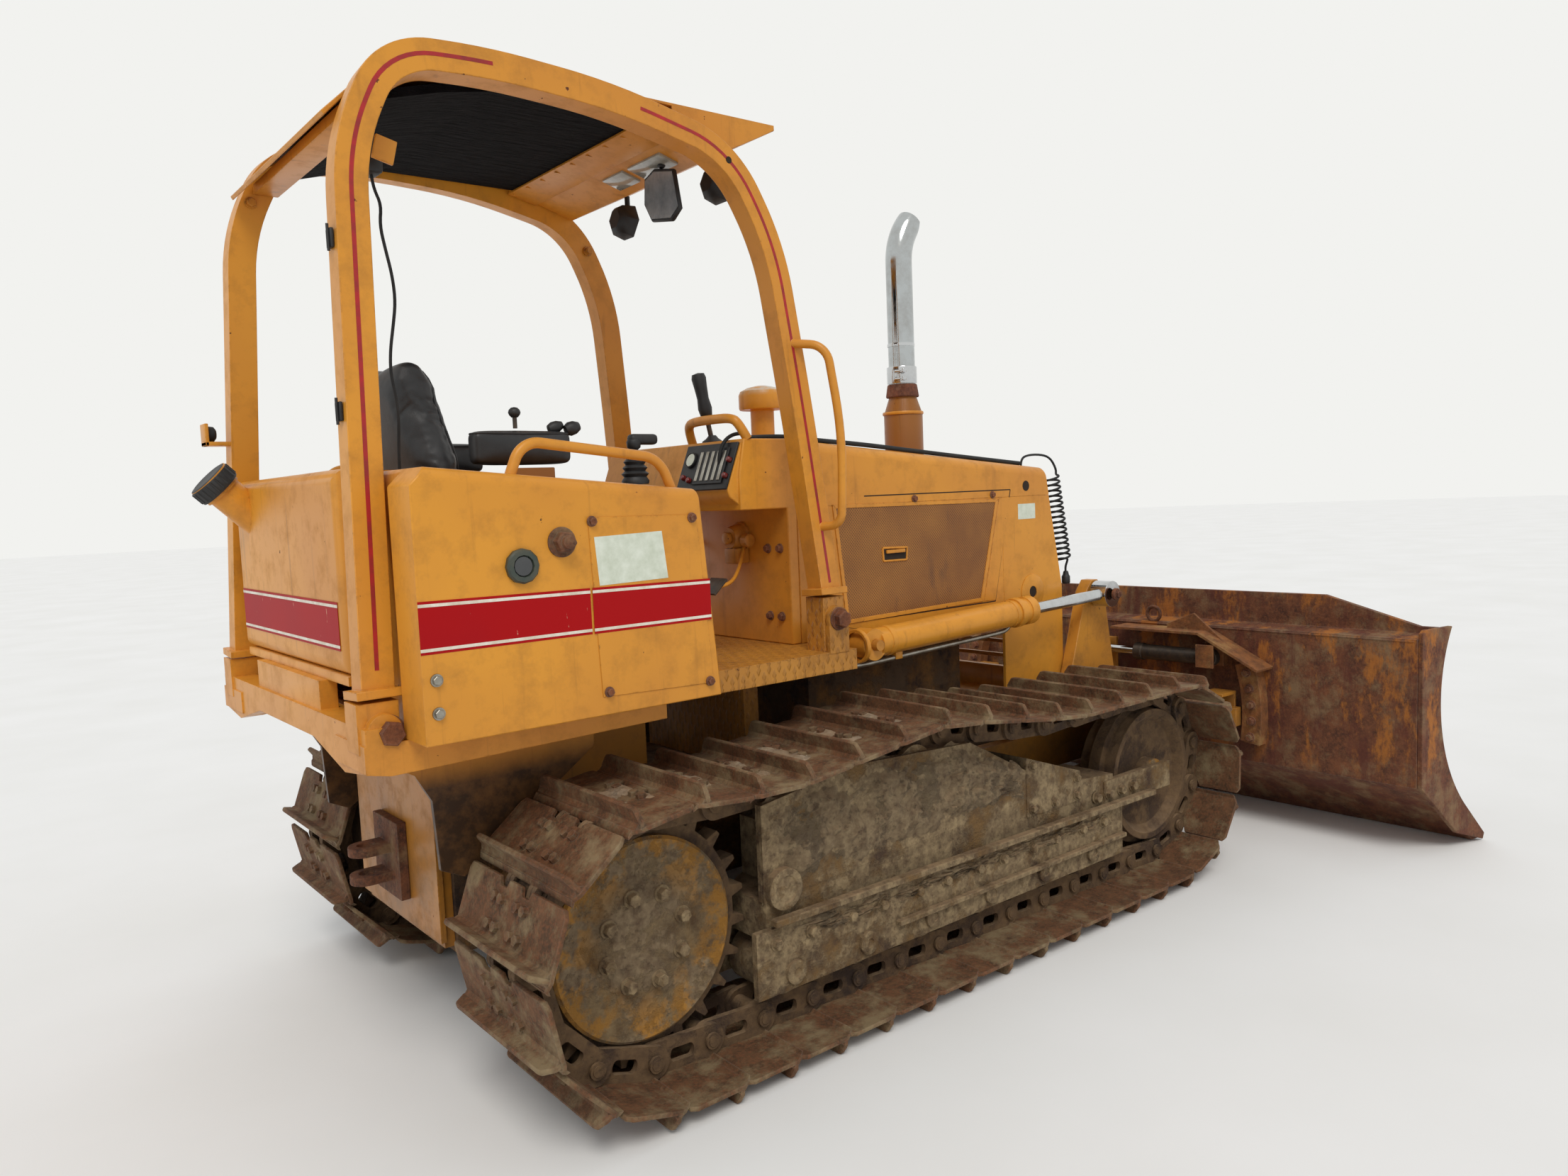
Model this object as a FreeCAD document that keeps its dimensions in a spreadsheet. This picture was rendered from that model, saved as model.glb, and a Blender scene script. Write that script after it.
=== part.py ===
import FreeCAD, Part
import math
import os
import Sketcher
from FreeCAD import Placement, Rotation, Vector

# A crawler dozer with a six-way blade. Millimetres, X forward, Y to the left, Z up from the ground.
# The sprocket axle is the datum of every length along the machine.

doc = FreeCAD.newDocument("Bulldozer")
sheet = doc.addObject("Spreadsheet::Sheet", "Sizes")

# name, value in millimetres or degrees or pieces, what it is
SIZES = [
    ("axle_x", -1423, "sprocket axle behind the origin"),
    ("track_gauge", 1420, "centre to centre of the tracks"),
    ("shoe_width", 500, "width of a track shoe"),
    ("link_pitch", 175.5, "pin to pin of the track chain"),
    ("shoe_count", 37, "links in one track"),
    ("sprocket_turns", 11.5, "links round a whole sprocket"),
    ("link_height", 86, "height of a chain link"),
    ("chain_width", 150, "over both strands of the chain"),
    ("strand_width", 36, "one strand of the chain"),
    ("shoe_plate", 12, "thickness of a shoe"),
    ("grouser_height", 45, "height of a shoe's bar"),
    ("grouser_width", 14, "thickness of a shoe's bar"),
    ("idler_pin_radius", 305, "chain pins round the front idler"),
    ("carrier_x", 950, "carrier roller ahead of the axle"),
    ("carrier_pin", 790, "height of the chain's pins over the carrier roller"),
    ("carrier_radius", 60, "carrier roller"),
    ("rear_sag_x", 330, "lowest spot of the chain behind the carrier roller"),
    ("rear_sag_pin", 716, "height of its pins there"),
    ("front_sag_x", 1560, "lowest spot of the chain ahead of the carrier roller"),
    ("front_sag_pin", 707, "height of its pins there"),
    ("bar_wear", 1.2, "wear of the bars that stand under the rollers"),
    ("roller_radius", 80, "bottom rollers"),
    ("hull_half", 300, "half width of the main frame"),
    ("hull_low", 330, "underside of the main frame"),
    ("hull_high", 640, "top of the main frame"),
    ("hull_front", 2060, "front of the main frame"),
    ("deck_z", 1040, "top of the operator's floor"),
    ("deck_plate", 12, "floor plate"),
    ("deck_half", 620, "half width of the floor"),
    ("deck_front", 900, "front edge of the floor"),
    ("fender_out", 759, "outer face of a fender box"),
    ("fender_in", 330, "inner face of a fender box"),
    ("fender_rear", -520, "rear face of a fender box"),
    ("fender_front", 232, "front edge of a fender box at its top"),
    ("fender_low", 1004, "underside of a fender box"),
    ("fender_top", 1616, "top of a fender box at the rear"),
    ("fender_drop", 68, "fall of its top towards the front"),
    ("hood_half", 395, "half width of the hood"),
    ("hood_rear", 870, "rear edge of the hood"),
    ("hood_front", 2156, "front edge of the hood's top"),
    ("hood_top_rear", 1700, "hood top at the dash"),
    ("hood_top_front", 1590, "hood top at the front"),
    ("screen_top", 1480, "top of a side screen"),
    ("screen_low", 1010, "bottom of a side screen"),
    ("guard_front", 2253, "lower front of the radiator guard"),
    ("sheet", 6, "body panels"),
    ("post_deep", 76, "roll bar tube, fore and aft"),
    ("post_wide", 66, "roll bar tube, across"),
    ("post_foot_y", 569, "roll bar's centre at its rear foot"),
    ("post_lean", 4.06, "lean of the roll bars towards each other, in degrees"),
    ("rear_post_x", -563, "rear post at its flange"),
    ("rear_post_z", 1108, "flange of the rear post"),
    ("front_post_x", 827, "front post at its flange"),
    ("front_post_z", 1220, "flange of the front post"),
    ("arch_top", 2650, "top of the roll bars"),
    ("arch_front_x", 640, "front end of the roll bar's top run"),
    ("arch_front_z", 2500, "height there"),
    ("seat_rear", -150, "rear edge of the seat cushion"),
    ("seat_z", 1375, "underside of the seat cushion"),
    ("stack_x", 1715, "exhaust stack"),
    ("stack_y", -60, "exhaust stack, to the right of the middle"),
    ("stack_top", 2600, "mouth of the exhaust stack"),
    ("precleaner_x", 1060, "air cleaner's cap"),
    ("frame_pivot_x", 900, "pin of the push frame"),
    ("frame_pivot_z", 480, "pin of the push frame"),
    ("arm_y", 427, "middle of a push arm"),
    ("arm_wide", 52, "width of a push arm"),
    ("arm_high", 150, "height of a push arm"),
    ("lug_x", 2392, "lift rod's eye"),
    ("lug_z", 1072, "lift rod's eye"),
    ("lift_y", 500, "lift cylinder's axis"),
    ("lift_base_x", 1062, "lift cylinder's rear pin"),
    ("lift_base_z", 1024, "lift cylinder's rear pin"),
    ("lift_bore", 96, "lift cylinder's outside"),
    ("lift_rod", 45, "lift cylinder's rod"),
    ("swing_x", 2860, "upright pin on which the blade angles"),
    ("tilt_z", 500, "axis on which the blade tilts"),
    ("angle_base_x", 2705, "angle cylinder's pin on the push frame"),
    ("angle_base_y", 110, "angle cylinder's pin on the push frame"),
    ("angle_eye_x", 2985, "angle rod's eye"),
    ("angle_eye_y", 640, "angle rod's eye"),
    ("angle_z", 560, "angle cylinders"),
    ("tilt_cylinder_x", 3020, "tilt cylinder"),
    ("tilt_cylinder_z", 740, "tilt cylinder"),
    ("tilt_eye_y", 600, "tilt cylinder's outer pin"),
    ("tank_rear", -585, "rear face of the fuel tank"),
    ("tank_half", 470, "half width of the fuel tank"),
    ("tank_low", 1135, "bottom of the fuel tank"),
    ("tank_top", 1626, "top of the fuel tank"),
    ("housing_rear", -330, "rear face of the transmission housing"),
    ("tilt_post_y", 60, "tilt cylinder's inner pin"),
    ("blade_back", 3110, "rear face of the blade"),
    ("blade_half", 1400, "half width of the blade at its back"),
    ("blade_clear", 5, "cutting edge above the ground"),
    ("blade_end_top", 905, "blade's top at its ends"),
    ("blade_mid_top", 1014, "blade's top in the middle"),
    ("blade_tip", 3560, "front of the cutting edge's ends"),
]


class Size:
    """A size with its value and the words that give it in the sheet."""

    def __init__(self, value, words):
        self.value = float(value)
        self.words = words

    def __add__(self, other):
        return Size(self.value + number(other), "(%s + %s)" % (self.words, words(other)))

    def __sub__(self, other):
        return Size(self.value - number(other), "(%s - %s)" % (self.words, words(other)))

    def __mul__(self, other):
        return Size(self.value * number(other), "(%s * %s)" % (self.words, words(other)))

    def __truediv__(self, other):
        return Size(self.value / number(other), "(%s / %s)" % (self.words, words(other)))

    def __radd__(self, other):
        return as_size(other) + self

    def __rsub__(self, other):
        return as_size(other) - self

    def __rmul__(self, other):
        return as_size(other) * self

    def __neg__(self):
        return as_size(0) - self

    def __float__(self):
        return self.value


def number(size):
    return size.value if isinstance(size, Size) else float(size)


def words(size):
    return size.words if isinstance(size, Size) else "(%.6f)" % float(size)


def as_size(size):
    return size if isinstance(size, Size) else Size(size, words(size))


class Sheet:
    """The driving sizes by name."""


S = Sheet()
for row, (alias, value, meaning) in enumerate(SIZES, start=1):
    sheet.set("A%d" % row, meaning)
    sheet.set("B%d" % row, str(value))
    sheet.setAlias("B%d" % row, alias)
    setattr(S, alias, Size(value, "Sizes." + alias))
doc.recompute()

PLANES = {"XY": ("XY_Plane", "z", False), "XZ": ("XZ_Plane", "y", True), "YZ": ("YZ_Plane", "x", False)}
TURNS = {"x": Rotation(Vector(0, 1, 0), 90), "y": Rotation(Vector(1, 0, 0), -90), "z": Rotation()}
nodes = []


def bind(thing, name, size):
    thing.setExpression(name, words(size))


def seat(thing, x, y, z):
    """Sets a thing's place."""
    for axis, size in zip("xyz", (x, y, z)):
        bind(thing, "Placement.Base." + axis, size)


def place(x, y, z):
    return Vector(number(S.axle_x) + number(x), number(y), number(z))


def along(x):
    """A length along the machine, from the sprocket axle."""
    return S.axle_x + x


def box(name, x, y, z):
    """A block between three pairs of faces."""
    block = doc.addObject("Part::Box", name)
    for side, (low, high) in zip(("Length", "Width", "Height"), (x, y, z)):
        bind(block, side, as_size(high) - low)
    seat(block, x[0], y[0], z[0])
    return block


def rod(name, axis, radius, start, length):
    """A round bar along an axis."""
    bar = doc.addObject("Part::Cylinder", name)
    bar.Placement = Placement(Vector(), TURNS[axis])
    bind(bar, "Radius", radius)
    bind(bar, "Height", length)
    seat(bar, *start)
    return bar


def outline(body, name, plane, points):
    """A closed outline of straight lines, each corner held by two sizes."""
    sketch = body.newObject("Sketcher::SketchObject", name + "_outline")
    role = PLANES[plane][0]
    sketch.AttachmentSupport = [(next(f for f in body.Origin.OriginFeatures if f.Role == role), "")]
    sketch.MapMode = "FlatFace"
    corners = [Vector(number(u), number(v), 0) for u, v in points]
    for i, corner in enumerate(corners):
        sketch.addGeometry(Part.LineSegment(corner, corners[(i + 1) % len(corners)]), False)
    for i, (u, v) in enumerate(points):
        sketch.addConstraint(Sketcher.Constraint("Coincident", i, 2, (i + 1) % len(points), 1))
        for kind, size in (("DistanceX", u), ("DistanceY", v)):
            index = sketch.addConstraint(Sketcher.Constraint(kind, -1, 1, i, 1, number(size)))
            bind(sketch, "Constraints[%d]" % index, size)
    return sketch


def prism(name, plane, points, low, high):
    """A plate or block: an outline in a plane, between two places across it."""
    body = doc.addObject("PartDesign::Body", name)
    sketch = outline(body, name, plane, points)
    pad = body.newObject("PartDesign::Pad", name + "_pad")
    pad.Profile = sketch
    pad.Reversed = PLANES[plane][2]
    bind(pad, "Length", as_size(high) - low)
    bind(body, "Placement.Base." + PLANES[plane][1], low)
    return body


def turned(name, axis, start, profile):
    """A turned piece: radius and height pairs, turned about an axis."""
    body = doc.addObject("PartDesign::Body", name)
    sketch = outline(body, name, "XZ", profile)
    spin = body.newObject("PartDesign::Revolution", name + "_turn")
    spin.Profile = sketch
    spin.ReferenceAxis = (sketch, ["V_Axis"])
    spin.Angle = 360
    body.Placement = Placement(Vector(), TURNS[axis])
    seat(body, *start)
    return body


def shaped(name, shape):
    """A piece with a bent or lofted shape."""
    piece = doc.addObject("Part::Feature", name)
    piece.Shape = shape
    return piece


def fuse(name, *pieces):
    joined = doc.addObject("Part::MultiFuse", name)
    joined.Shapes = list(pieces)
    joined.Refine = True
    return joined


def cut(name, base, tool):
    left = doc.addObject("Part::Cut", name)
    left.Base = base
    left.Tool = tool
    return left


def rounded(name, base, radius, chosen):
    """A piece with the edges rounded whose bounding boxes are chosen."""
    doc.recompute()
    piece = doc.addObject("Part::Fillet", name)
    piece.Base = base
    piece.Edges = [(i, radius, radius) for i, edge in enumerate(base.Shape.Edges, 1) if chosen(edge.BoundBox)]
    return piece


def together(name, *pieces):
    """Like pieces that don't touch, as one sub-part."""
    group = doc.addObject("Part::Compound", name)
    group.Links = list(pieces)
    return group


def mirrored(name, source):
    """The same piece on the machine's other side."""
    twin = doc.addObject("Part::Mirroring", name)
    twin.Source = source
    twin.Normal = Vector(0, 1, 0)
    return twin


def node(label, thing):
    """Keeps a finished sub-part under its own name."""
    thing.Label = label
    nodes.append(thing)
    return thing


def pair(label, maker):
    """A right-hand sub-part and its twin on the left."""
    right = node(label + "_right", maker(label + "_right"))
    node(label + "_left", mirrored(label + "_left", right))
    return right


# The track's path: pins on a loop round the sprocket and the idler. Its slack top run rises over
# one carrier roller and hangs before and behind it.

def belt(idler_x):
    """Straight runs and arcs of the pin line, with the idler at a given place."""
    rear, front = number(S.link_pitch * S.sprocket_turns) / (2 * math.pi), number(S.idler_pin_radius)
    base = number(S.grouser_height + S.shoe_plate + S.link_height / 2)
    rear_z, front_z = base + rear, base + front
    rear_sag = (number(S.rear_sag_x), number(S.rear_sag_pin))
    front_sag = (number(S.front_sag_x), number(S.front_sag_pin))
    crest = (number(S.carrier_x), number(S.carrier_pin))

    def tangent(cx, cz, radius, px, pz, side):
        reach = math.hypot(px - cx, pz - cz)
        turn = math.atan2(pz - cz, px - cx) + side * math.acos(radius / reach)
        return turn

    rear_top = tangent(0, rear_z, rear, *rear_sag, 1)
    front_top = tangent(idler_x, front_z, front, *front_sag, -1)
    spots = [("run", (0, base), (idler_x, base))]
    spots.append(("arc", (idler_x, front_z), front, -math.pi / 2, front_top))
    foot = (idler_x + front * math.cos(front_top), front_z + front * math.sin(front_top))
    spots += [("run", foot, front_sag), ("run", front_sag, crest), ("run", crest, rear_sag)]
    head = (rear * math.cos(rear_top), rear_z + rear * math.sin(rear_top))
    spots.append(("run", rear_sag, head))
    spots.append(("arc", (0, rear_z), rear, rear_top, 3 * math.pi / 2))
    return spots


def piece_length(piece):
    if piece[0] == "run":
        return math.hypot(piece[2][0] - piece[1][0], piece[2][1] - piece[1][1])
    return piece[2] * (piece[4] - piece[3])


def belt_length(idler_x):
    return sum(piece_length(piece) for piece in belt(idler_x))


def find_idler():
    """The idler is drawn forward until the chain is tight."""
    low, high = 1200.0, 4000.0
    target = number(S.link_pitch * S.shoe_count)
    while high - low > 1e-6:
        middle = (low + high) / 2
        if belt_length(middle) < target:
            low = middle
        else:
            high = middle
    return low


def pins(idler_x):
    """Pins one pitch apart along the loop, forwards along the ground first."""
    spots = belt(idler_x)
    found = []
    for i in range(int(number(S.shoe_count))):
        way = i * number(S.link_pitch)
        for piece in spots:
            length = piece_length(piece)
            if way < length:
                break
            way -= length
        if piece[0] == "run":
            share = way / length
            found.append(tuple(a + (b - a) * share for a, b in zip(piece[1], piece[2])))
        else:
            turn = piece[3] + way / piece[2]
            found.append((piece[1][0] + piece[2] * math.cos(turn), piece[1][1] + piece[2] * math.sin(turn)))
    return found


IDLER_X = find_idler()
PINS = pins(IDLER_X)
LINK_HALF = S.link_height / 2
BASE_Z = S.grouser_height + S.shoe_plate + LINK_HALF
SPROCKET_R = S.link_pitch * S.sprocket_turns / (2 * math.pi)
AXLE_Z = BASE_Z + SPROCKET_R
IDLER_Z = BASE_Z + S.idler_pin_radius
IDLER_TREAD = number(S.idler_pin_radius) * math.cos(number(S.link_pitch) / number(S.idler_pin_radius) / 2)
IDLER_TREAD = IDLER_TREAD - number(LINK_HALF) - 0.3


def offset_corner(i, away):
    """The corner at a pin of a line that runs a distance outside the pin line."""
    count = len(PINS)
    before, here, after = PINS[i - 1], PINS[i], PINS[(i + 1) % count]
    first = math.atan2(here[1] - before[1], here[0] - before[0])
    second = math.atan2(after[1] - here[1], after[0] - here[0])
    bend = (second - first + math.pi) % (2 * math.pi) - math.pi
    out = first + bend / 2 - math.pi / 2
    reach = away / math.cos(bend / 2)
    return (here[0] + reach * math.cos(out), here[1] + reach * math.sin(out))


def ring(outer, inner, low, high):
    """A band between two closed lines in the XZ plane, from one Y to another."""
    def face(points):
        corners = [Vector(number(S.axle_x) + x, low, z) for x, z in points]
        return Part.Face(Part.makePolygon(corners + corners[:1]))
    return face(outer).cut(face(inner)).extrude(Vector(0, high - low, 0))


NEAR_GROUND = 3


def track(name):
    half, plate = number(LINK_HALF), number(S.shoe_plate)
    inner = [offset_corner(i, half) for i in range(len(PINS))]
    outer = []
    for i, corner in enumerate(PINS):
        after = PINS[(i + 1) % len(PINS)]
        way = math.atan2(after[1] - corner[1], after[0] - corner[0])
        step, out = (math.cos(way), math.sin(way)), (math.sin(way), -math.cos(way))
        outer.append(offset_corner(i, half + plate))
        bar_end = number(S.link_pitch) * 0.86
        bar_start = bar_end - number(S.grouser_width)
        for reach, rise in ((bar_start, 0), (bar_start, 1), (bar_end, 1), (bar_end, 0)):
            away = half + plate + rise * number(S.grouser_height)
            outer.append((corner[0] + reach * step[0] + away * out[0],
                          corner[1] + reach * step[1] + away * out[1]))
    # The machine stands on the flat tips of the first and the last bar on the ground.
    ground = sorted(i for i, (x, z) in enumerate(outer) if z < NEAR_GROUND)
    ground.sort(key=lambda i: outer[i][0])
    for i in ground:
        worn = 0 if i in ground[:2] + ground[-2:] else number(S.bar_wear)
        outer[i] = (outer[i][0], worn)
    middle = -number(S.track_gauge) / 2
    wide = number(S.shoe_width) / 2
    shoes = ring(outer, inner, middle - wide, middle + wide)
    floor = [offset_corner(i, -half) for i in range(len(PINS))]
    strands = []
    for side in (-1, 1):
        edge = middle + side * (number(S.chain_width) - number(S.strand_width)) / 2
        strands.append(ring(inner, floor, edge - number(S.strand_width) / 2, edge + number(S.strand_width) / 2))
    return shaped(name, shoes.fuse(strands))


def toothed_rim(name):
    """The sprocket's rim: one low tooth for each half link."""
    count = int(2 * number(S.sprocket_turns))
    points = []
    for i in range(count):
        for share, rise in ((0.0, -26), (0.3, -26), (0.42, 12), (0.58, 12), (0.7, -26)):
            turn = 2 * math.pi * (i + share) / count
            radius = number(SPROCKET_R) + rise
            points.append(Vector(number(S.axle_x) + radius * math.cos(turn), 0,
                                 number(AXLE_Z) + radius * math.sin(turn)))
    face = Part.Face(Part.makePolygon(points + points[:1]))
    solid = face.extrude(Vector(0, 60, 0))
    solid.translate(Vector(0, -number(S.track_gauge) / 2 - 30, 0))
    return shaped(name, solid)


def sprocket(name):
    rim = toothed_rim(name + "_teeth")
    middle = -S.track_gauge / 2
    disc = rod(name + "_disc", "y", 255, (along(0), middle - 34, AXLE_Z), 184)
    return fuse(name, rim, disc)


def idler(name):
    middle = -S.track_gauge / 2
    tread = IDLER_TREAD
    half = S.chain_width / 2
    profile = [(0, -84), (60, -84), (60, -40), (200, -40), (tread - 22, -half), (tread, -half),
               (tread, -30), (tread + 22, -24), (tread + 22, 24), (tread, 30), (tread, half),
               (tread - 22, half), (200, 40), (60, 40), (60, 84), (0, 84)]
    return turned(name, "y", (along(IDLER_X), middle, IDLER_Z), profile)


ROLLERS = 6
ROLLER_FIRST, ROLLER_STEP = 430, 275


def carrier_height():
    """Underside of the chain above the carrier roller."""
    spot = number(S.carrier_x)
    for i, pin in enumerate(PINS):
        after = PINS[(i + 1) % len(PINS)]
        if after[0] < spot <= pin[0] and pin[1] > number(AXLE_Z):
            slope = (after[1] - pin[1]) / (after[0] - pin[0])
            near = pin[1] + slope * (spot - pin[0]) - number(LINK_HALF) / math.cos(math.atan(slope))
            return near
    raise ValueError("no link above the carrier roller")


CARRIER_RIM = 75
SPRING_COVER = [(1464, 416), (1759, 416), (1759, 520), (1464, 619)]
MUD_LINE = [(345, 430), (1500, 480), (1463, 578), (1191, 720), (700, 744), (345, 698)]
UNDER_CHAIN_MUD = [(420, 450), (1450, 480), (1400, 560), (1191, 640), (700, 668), (420, 620)]


def track_frame(name):
    """Roller frame with its guards, rollers, carrier roller and idler yoke."""
    middle = -S.track_gauge / 2
    beam = prism(name + "_beam", "XZ", [(along(350), 318), (along(1960), 318), (along(1960), 470),
                                        (along(1500), 505), (along(560), 505), (along(400), 430),
                                        (along(350), 430)], middle - 105, middle + 105)
    parts = [beam]
    for side, tag in ((-1, "out"), (1, "in")):
        y = middle + side * 112
        parts.append(prism(name + "_guard_" + tag, "XZ",
                           [(along(300), 175), (along(1990), 175), (along(1990), 360), (along(300), 360)],
                           y - 10, y + 10))
        yoke = middle + side * 97
        parts.append(prism(name + "_yoke_" + tag, "XZ",
                           [(along(1900), IDLER_Z - 50), (along(IDLER_X + 70), IDLER_Z - 50),
                            (along(IDLER_X + 70), IDLER_Z + 45), (along(1900), IDLER_Z + 45)],
                           yoke - 12.5, yoke + 12.5))
    roller_z = BASE_Z + LINK_HALF + 0.3 + S.roller_radius
    for i in range(ROLLERS):
        x = along(ROLLER_FIRST + i * ROLLER_STEP)
        parts.append(rod("%s_roller_%d" % (name, i), "y", S.roller_radius, (x, middle - 75, roller_z), 150))
        parts.append(rod("%s_axle_%d" % (name, i), "y", 28, (x, middle - 108, roller_z), 216))
    carrier_z = carrier_height() - 0.3 - S.carrier_radius
    parts.append(rod(name + "_carrier", "y", S.carrier_radius, (along(S.carrier_x), middle - 75, carrier_z), 150))
    parts.append(rod(name + "_carrier_rim", "y", CARRIER_RIM, (along(S.carrier_x), middle - 95, carrier_z), 18))
    parts.append(rod(name + "_carrier_axle", "y", 30, (along(S.carrier_x), middle - 95, carrier_z), 200))
    parts.append(box(name + "_carrier_post", (along(S.carrier_x - 45), along(S.carrier_x + 45)),
                     (middle + 80, middle + 105), (480, carrier_z + 30)))
    parts.append(prism(name + "_spring_cover", "XZ", [(along(x), z) for x, z in SPRING_COVER],
                       middle - 108, middle + 60))
    parts.append(rod(name + "_cap", "y", 57, (along(403), middle - 126, 462), 40))
    parts.append(prism(name + "_outer_mud", "XZ", [(along(x), z) for x, z in MUD_LINE],
                       middle - 106, middle - 81))
    parts.append(prism(name + "_inner_mud", "XZ", [(along(x), z) for x, z in UNDER_CHAIN_MUD],
                       middle - 84, middle + 90))
    return fuse(name, *parts)


pair("track", track)
pair("sprocket", sprocket)
pair("idler", idler)
pair("track_frame", track_frame)

# The hull between the tracks, with the cross beam under it and the pins of the push frame.

hull = box("hull", (along(-300), along(S.hull_front)), (-S.hull_half, S.hull_half), (S.hull_low, S.hull_high))
beam_block = box("beam_block", (along(1420), along(1540)), (-S.hull_half, S.hull_half), (240, S.hull_low))
beam_across = box("beam_across", (along(1430), along(1530)), (-S.track_gauge / 2 + 122.3, S.track_gauge / 2 - 122.3),
                  (200, 285))
frame_pin = rod("frame_pin", "y", 40, (along(S.frame_pivot_x), -452, S.frame_pivot_z), 904)
drives = [rod("drive_" + tag, "y", 190, (along(0), y, AXLE_Z), 270)
          for tag, y in (("right", -S.track_gauge / 2 + 150.3), ("left", S.track_gauge / 2 - 150.3 - 270))]
node("main_frame", fuse("main_frame", hull, beam_block, beam_across, frame_pin, *drives))

# The rear of the machine: transmission housing, its cover, the hitch and the fuel tank.

housing = prism("housing", "XZ", [(along(-300.3), 640.3), (along(330), 640.3), (along(330), S.deck_z - 12.3),
                                  (along(-300), S.deck_z - 12.3), (along(S.housing_rear), 900),
                                  (along(S.housing_rear), 350), (along(-300.3), 350)], -285, 285)
rear_cover = box("rear_cover", (along(S.housing_rear - 14), along(S.housing_rear + 2)), (-298, 298), (370, 890))
node("rear_housing", fuse("rear_housing", housing, rear_cover))
hitch_back = S.housing_rear - 14.3
hitch_plate = box("hitch_plate", (along(hitch_back - 26), along(hitch_back)), (-95, 95), (440, 660))
hitch_ears = []
for tag, z in (("low", 488), ("high", 568)):
    hitch_ears.append(box("hitch_ear_" + tag, (along(-430), along(hitch_back - 5)), (-45, 45), (z, z + 26)))
    hitch_ears.append(rod("hitch_nose_" + tag, "z", 45, (along(-430), 0, z), 26))
hitch_solid = fuse("hitch_solid", hitch_plate, *hitch_ears)
hitch_hole = rod("hitch_hole", "z", 22, (along(-428), 0, 460), 160)
node("drawbar", cut("drawbar", hitch_solid, hitch_hole))

TANK_ROUND = 38


def fuel_tank(name):
    """Welded tank with rounded edges, a ledge under it, and its filler neck leaning back from the left corner."""
    rear, half = number(S.tank_rear), number(S.tank_half)
    low, top = number(S.tank_low), number(S.tank_top)
    wide_end = number(S.fender_rear) - 4
    body = Part.makeBox(wide_end - rear, 2 * half, top - low, place(rear, -half, low))
    body = body.makeFillet(TANK_ROUND, [edge for edge in body.Edges
                                        if edge.BoundBox.XMax < number(S.axle_x) + rear + 1])
    front = Part.makeBox(-290 - rear - 50, 650, top - low - 2, place(rear + 50, -325, low + 1))
    ledge = Part.makeBox(60, 2 * half - 40, 22, place(rear + 6, -half + 20, low - 21))
    lean = Vector(-1, 0, 1).normalize()
    start = place(rear, 330, 1541)
    neck = Part.makeCylinder(48, 145, start - lean * 55, lean)
    cap = Part.makeCylinder(60, 44, start + lean * 88, lean)
    return shaped(name, body.fuse([front, ledge, neck, cap]))


node("fuel_tank", fuel_tank("fuel_tank"))

# The beams and brackets that carry the roll bars, the side boxes and the tank.


def bracket(name):
    """Plate bolted to the final drive, with the side beam, the post's foot and its lug."""
    middle = number(S.post_foot_y)
    plate = prism(name + "_plate", "XZ", [(along(-560), 940), (along(-440), 872), (along(-400), 800),
                                          (along(-390), 620), (along(-330), 590), (along(-170), 700),
                                          (along(60), 860), (along(60), 940)], -452, -436)
    side_beam = prism(name + "_beam", "XZ", [(along(-616), 940), (along(-560), 928), (along(180), 940),
                                             (along(180), 1003.7), (along(-616), 1003.7)], -640, -436)
    foot = box(name + "_foot", (along(-618), along(S.fender_rear - 2)), (-middle - 40, -middle + 40), (980, 1094))
    lug_plate = box(name + "_lug", (along(-602), along(-524)), (-middle - 62, -middle - 39), (980, 1030))
    lug_top = rod(name + "_lug_top", "y", 39, (along(-563), -middle - 62, 1030), 23)
    whole = fuse(name + "_whole", plate, side_beam, foot, lug_plate, lug_top)
    return cut(name, whole, rod(name + "_gap", "y", 190.3, (along(0), -600, AXLE_Z), 400))


rear_bar = prism("rear_bar", "YZ", [(-640, 940), (-480, 920), (-250, 972), (250, 972), (480, 920), (640, 940),
                                    (640, 1040), (-640, 1040)], along(-612), along(-548))
rear_saddle = box("rear_saddle", (along(-600), along(-556)), (-285, 285), (1036, S.tank_low - 21.3))
right_bracket = bracket("bracket_right")
left_bracket = mirrored("bracket_left", right_bracket)
node("rear_beam", fuse("rear_beam", rear_bar, rear_saddle, right_bracket, left_bracket))

# The operator's place.

well = box("floor_well", (along(-515), along(300)), (-329.5, 329.5), (S.deck_z - S.deck_plate, S.deck_z))
deck_top = box("deck_top", (along(S.fender_front + 45.3), along(S.deck_front)), (-S.deck_half, S.deck_half),
               (S.deck_z - S.deck_plate, S.deck_z))
skirts = [box("skirt_" + tag, (along(S.fender_front + 45.3), along(S.deck_front)), (y, y + 10),
              (S.deck_z - 64, S.deck_z))
          for tag, y in (("right", -S.deck_half), ("left", S.deck_half - 10))]
for i, x in enumerate((-400, 80)):
    for tag, low, high in (("right", -435.7, -285.3), ("left", 285.3, 435.7)):
        skirts.append(box("fender_bar_%d_%s" % (i, tag), (along(x), along(x + 60)), (low, high), (970, 1003.7)))
        near = (-329.5, -285.3) if low < 0 else (285.3, 329.5)
        skirts.append(box("fender_link_%d_%s" % (i, tag), (along(x), along(x + 60)), near, (1000, S.deck_z - 10)))
for tag, y in (("right", -600), ("left", 520)):
    skirts.append(box("front_post_seat_" + tag, (along(785), along(870)), (y, y + 80), (S.deck_z - 5, 1206)))
    lug_y = y - 22 if y < 0 else y + 79
    skirts.append(box("front_lug_" + tag, (along(788), along(868)), (lug_y, lug_y + 23), (S.deck_z - 5, 1140)))
    skirts.append(rod("front_lug_top_" + tag, "y", 40, (along(828), lug_y, 1140), 23))
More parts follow.
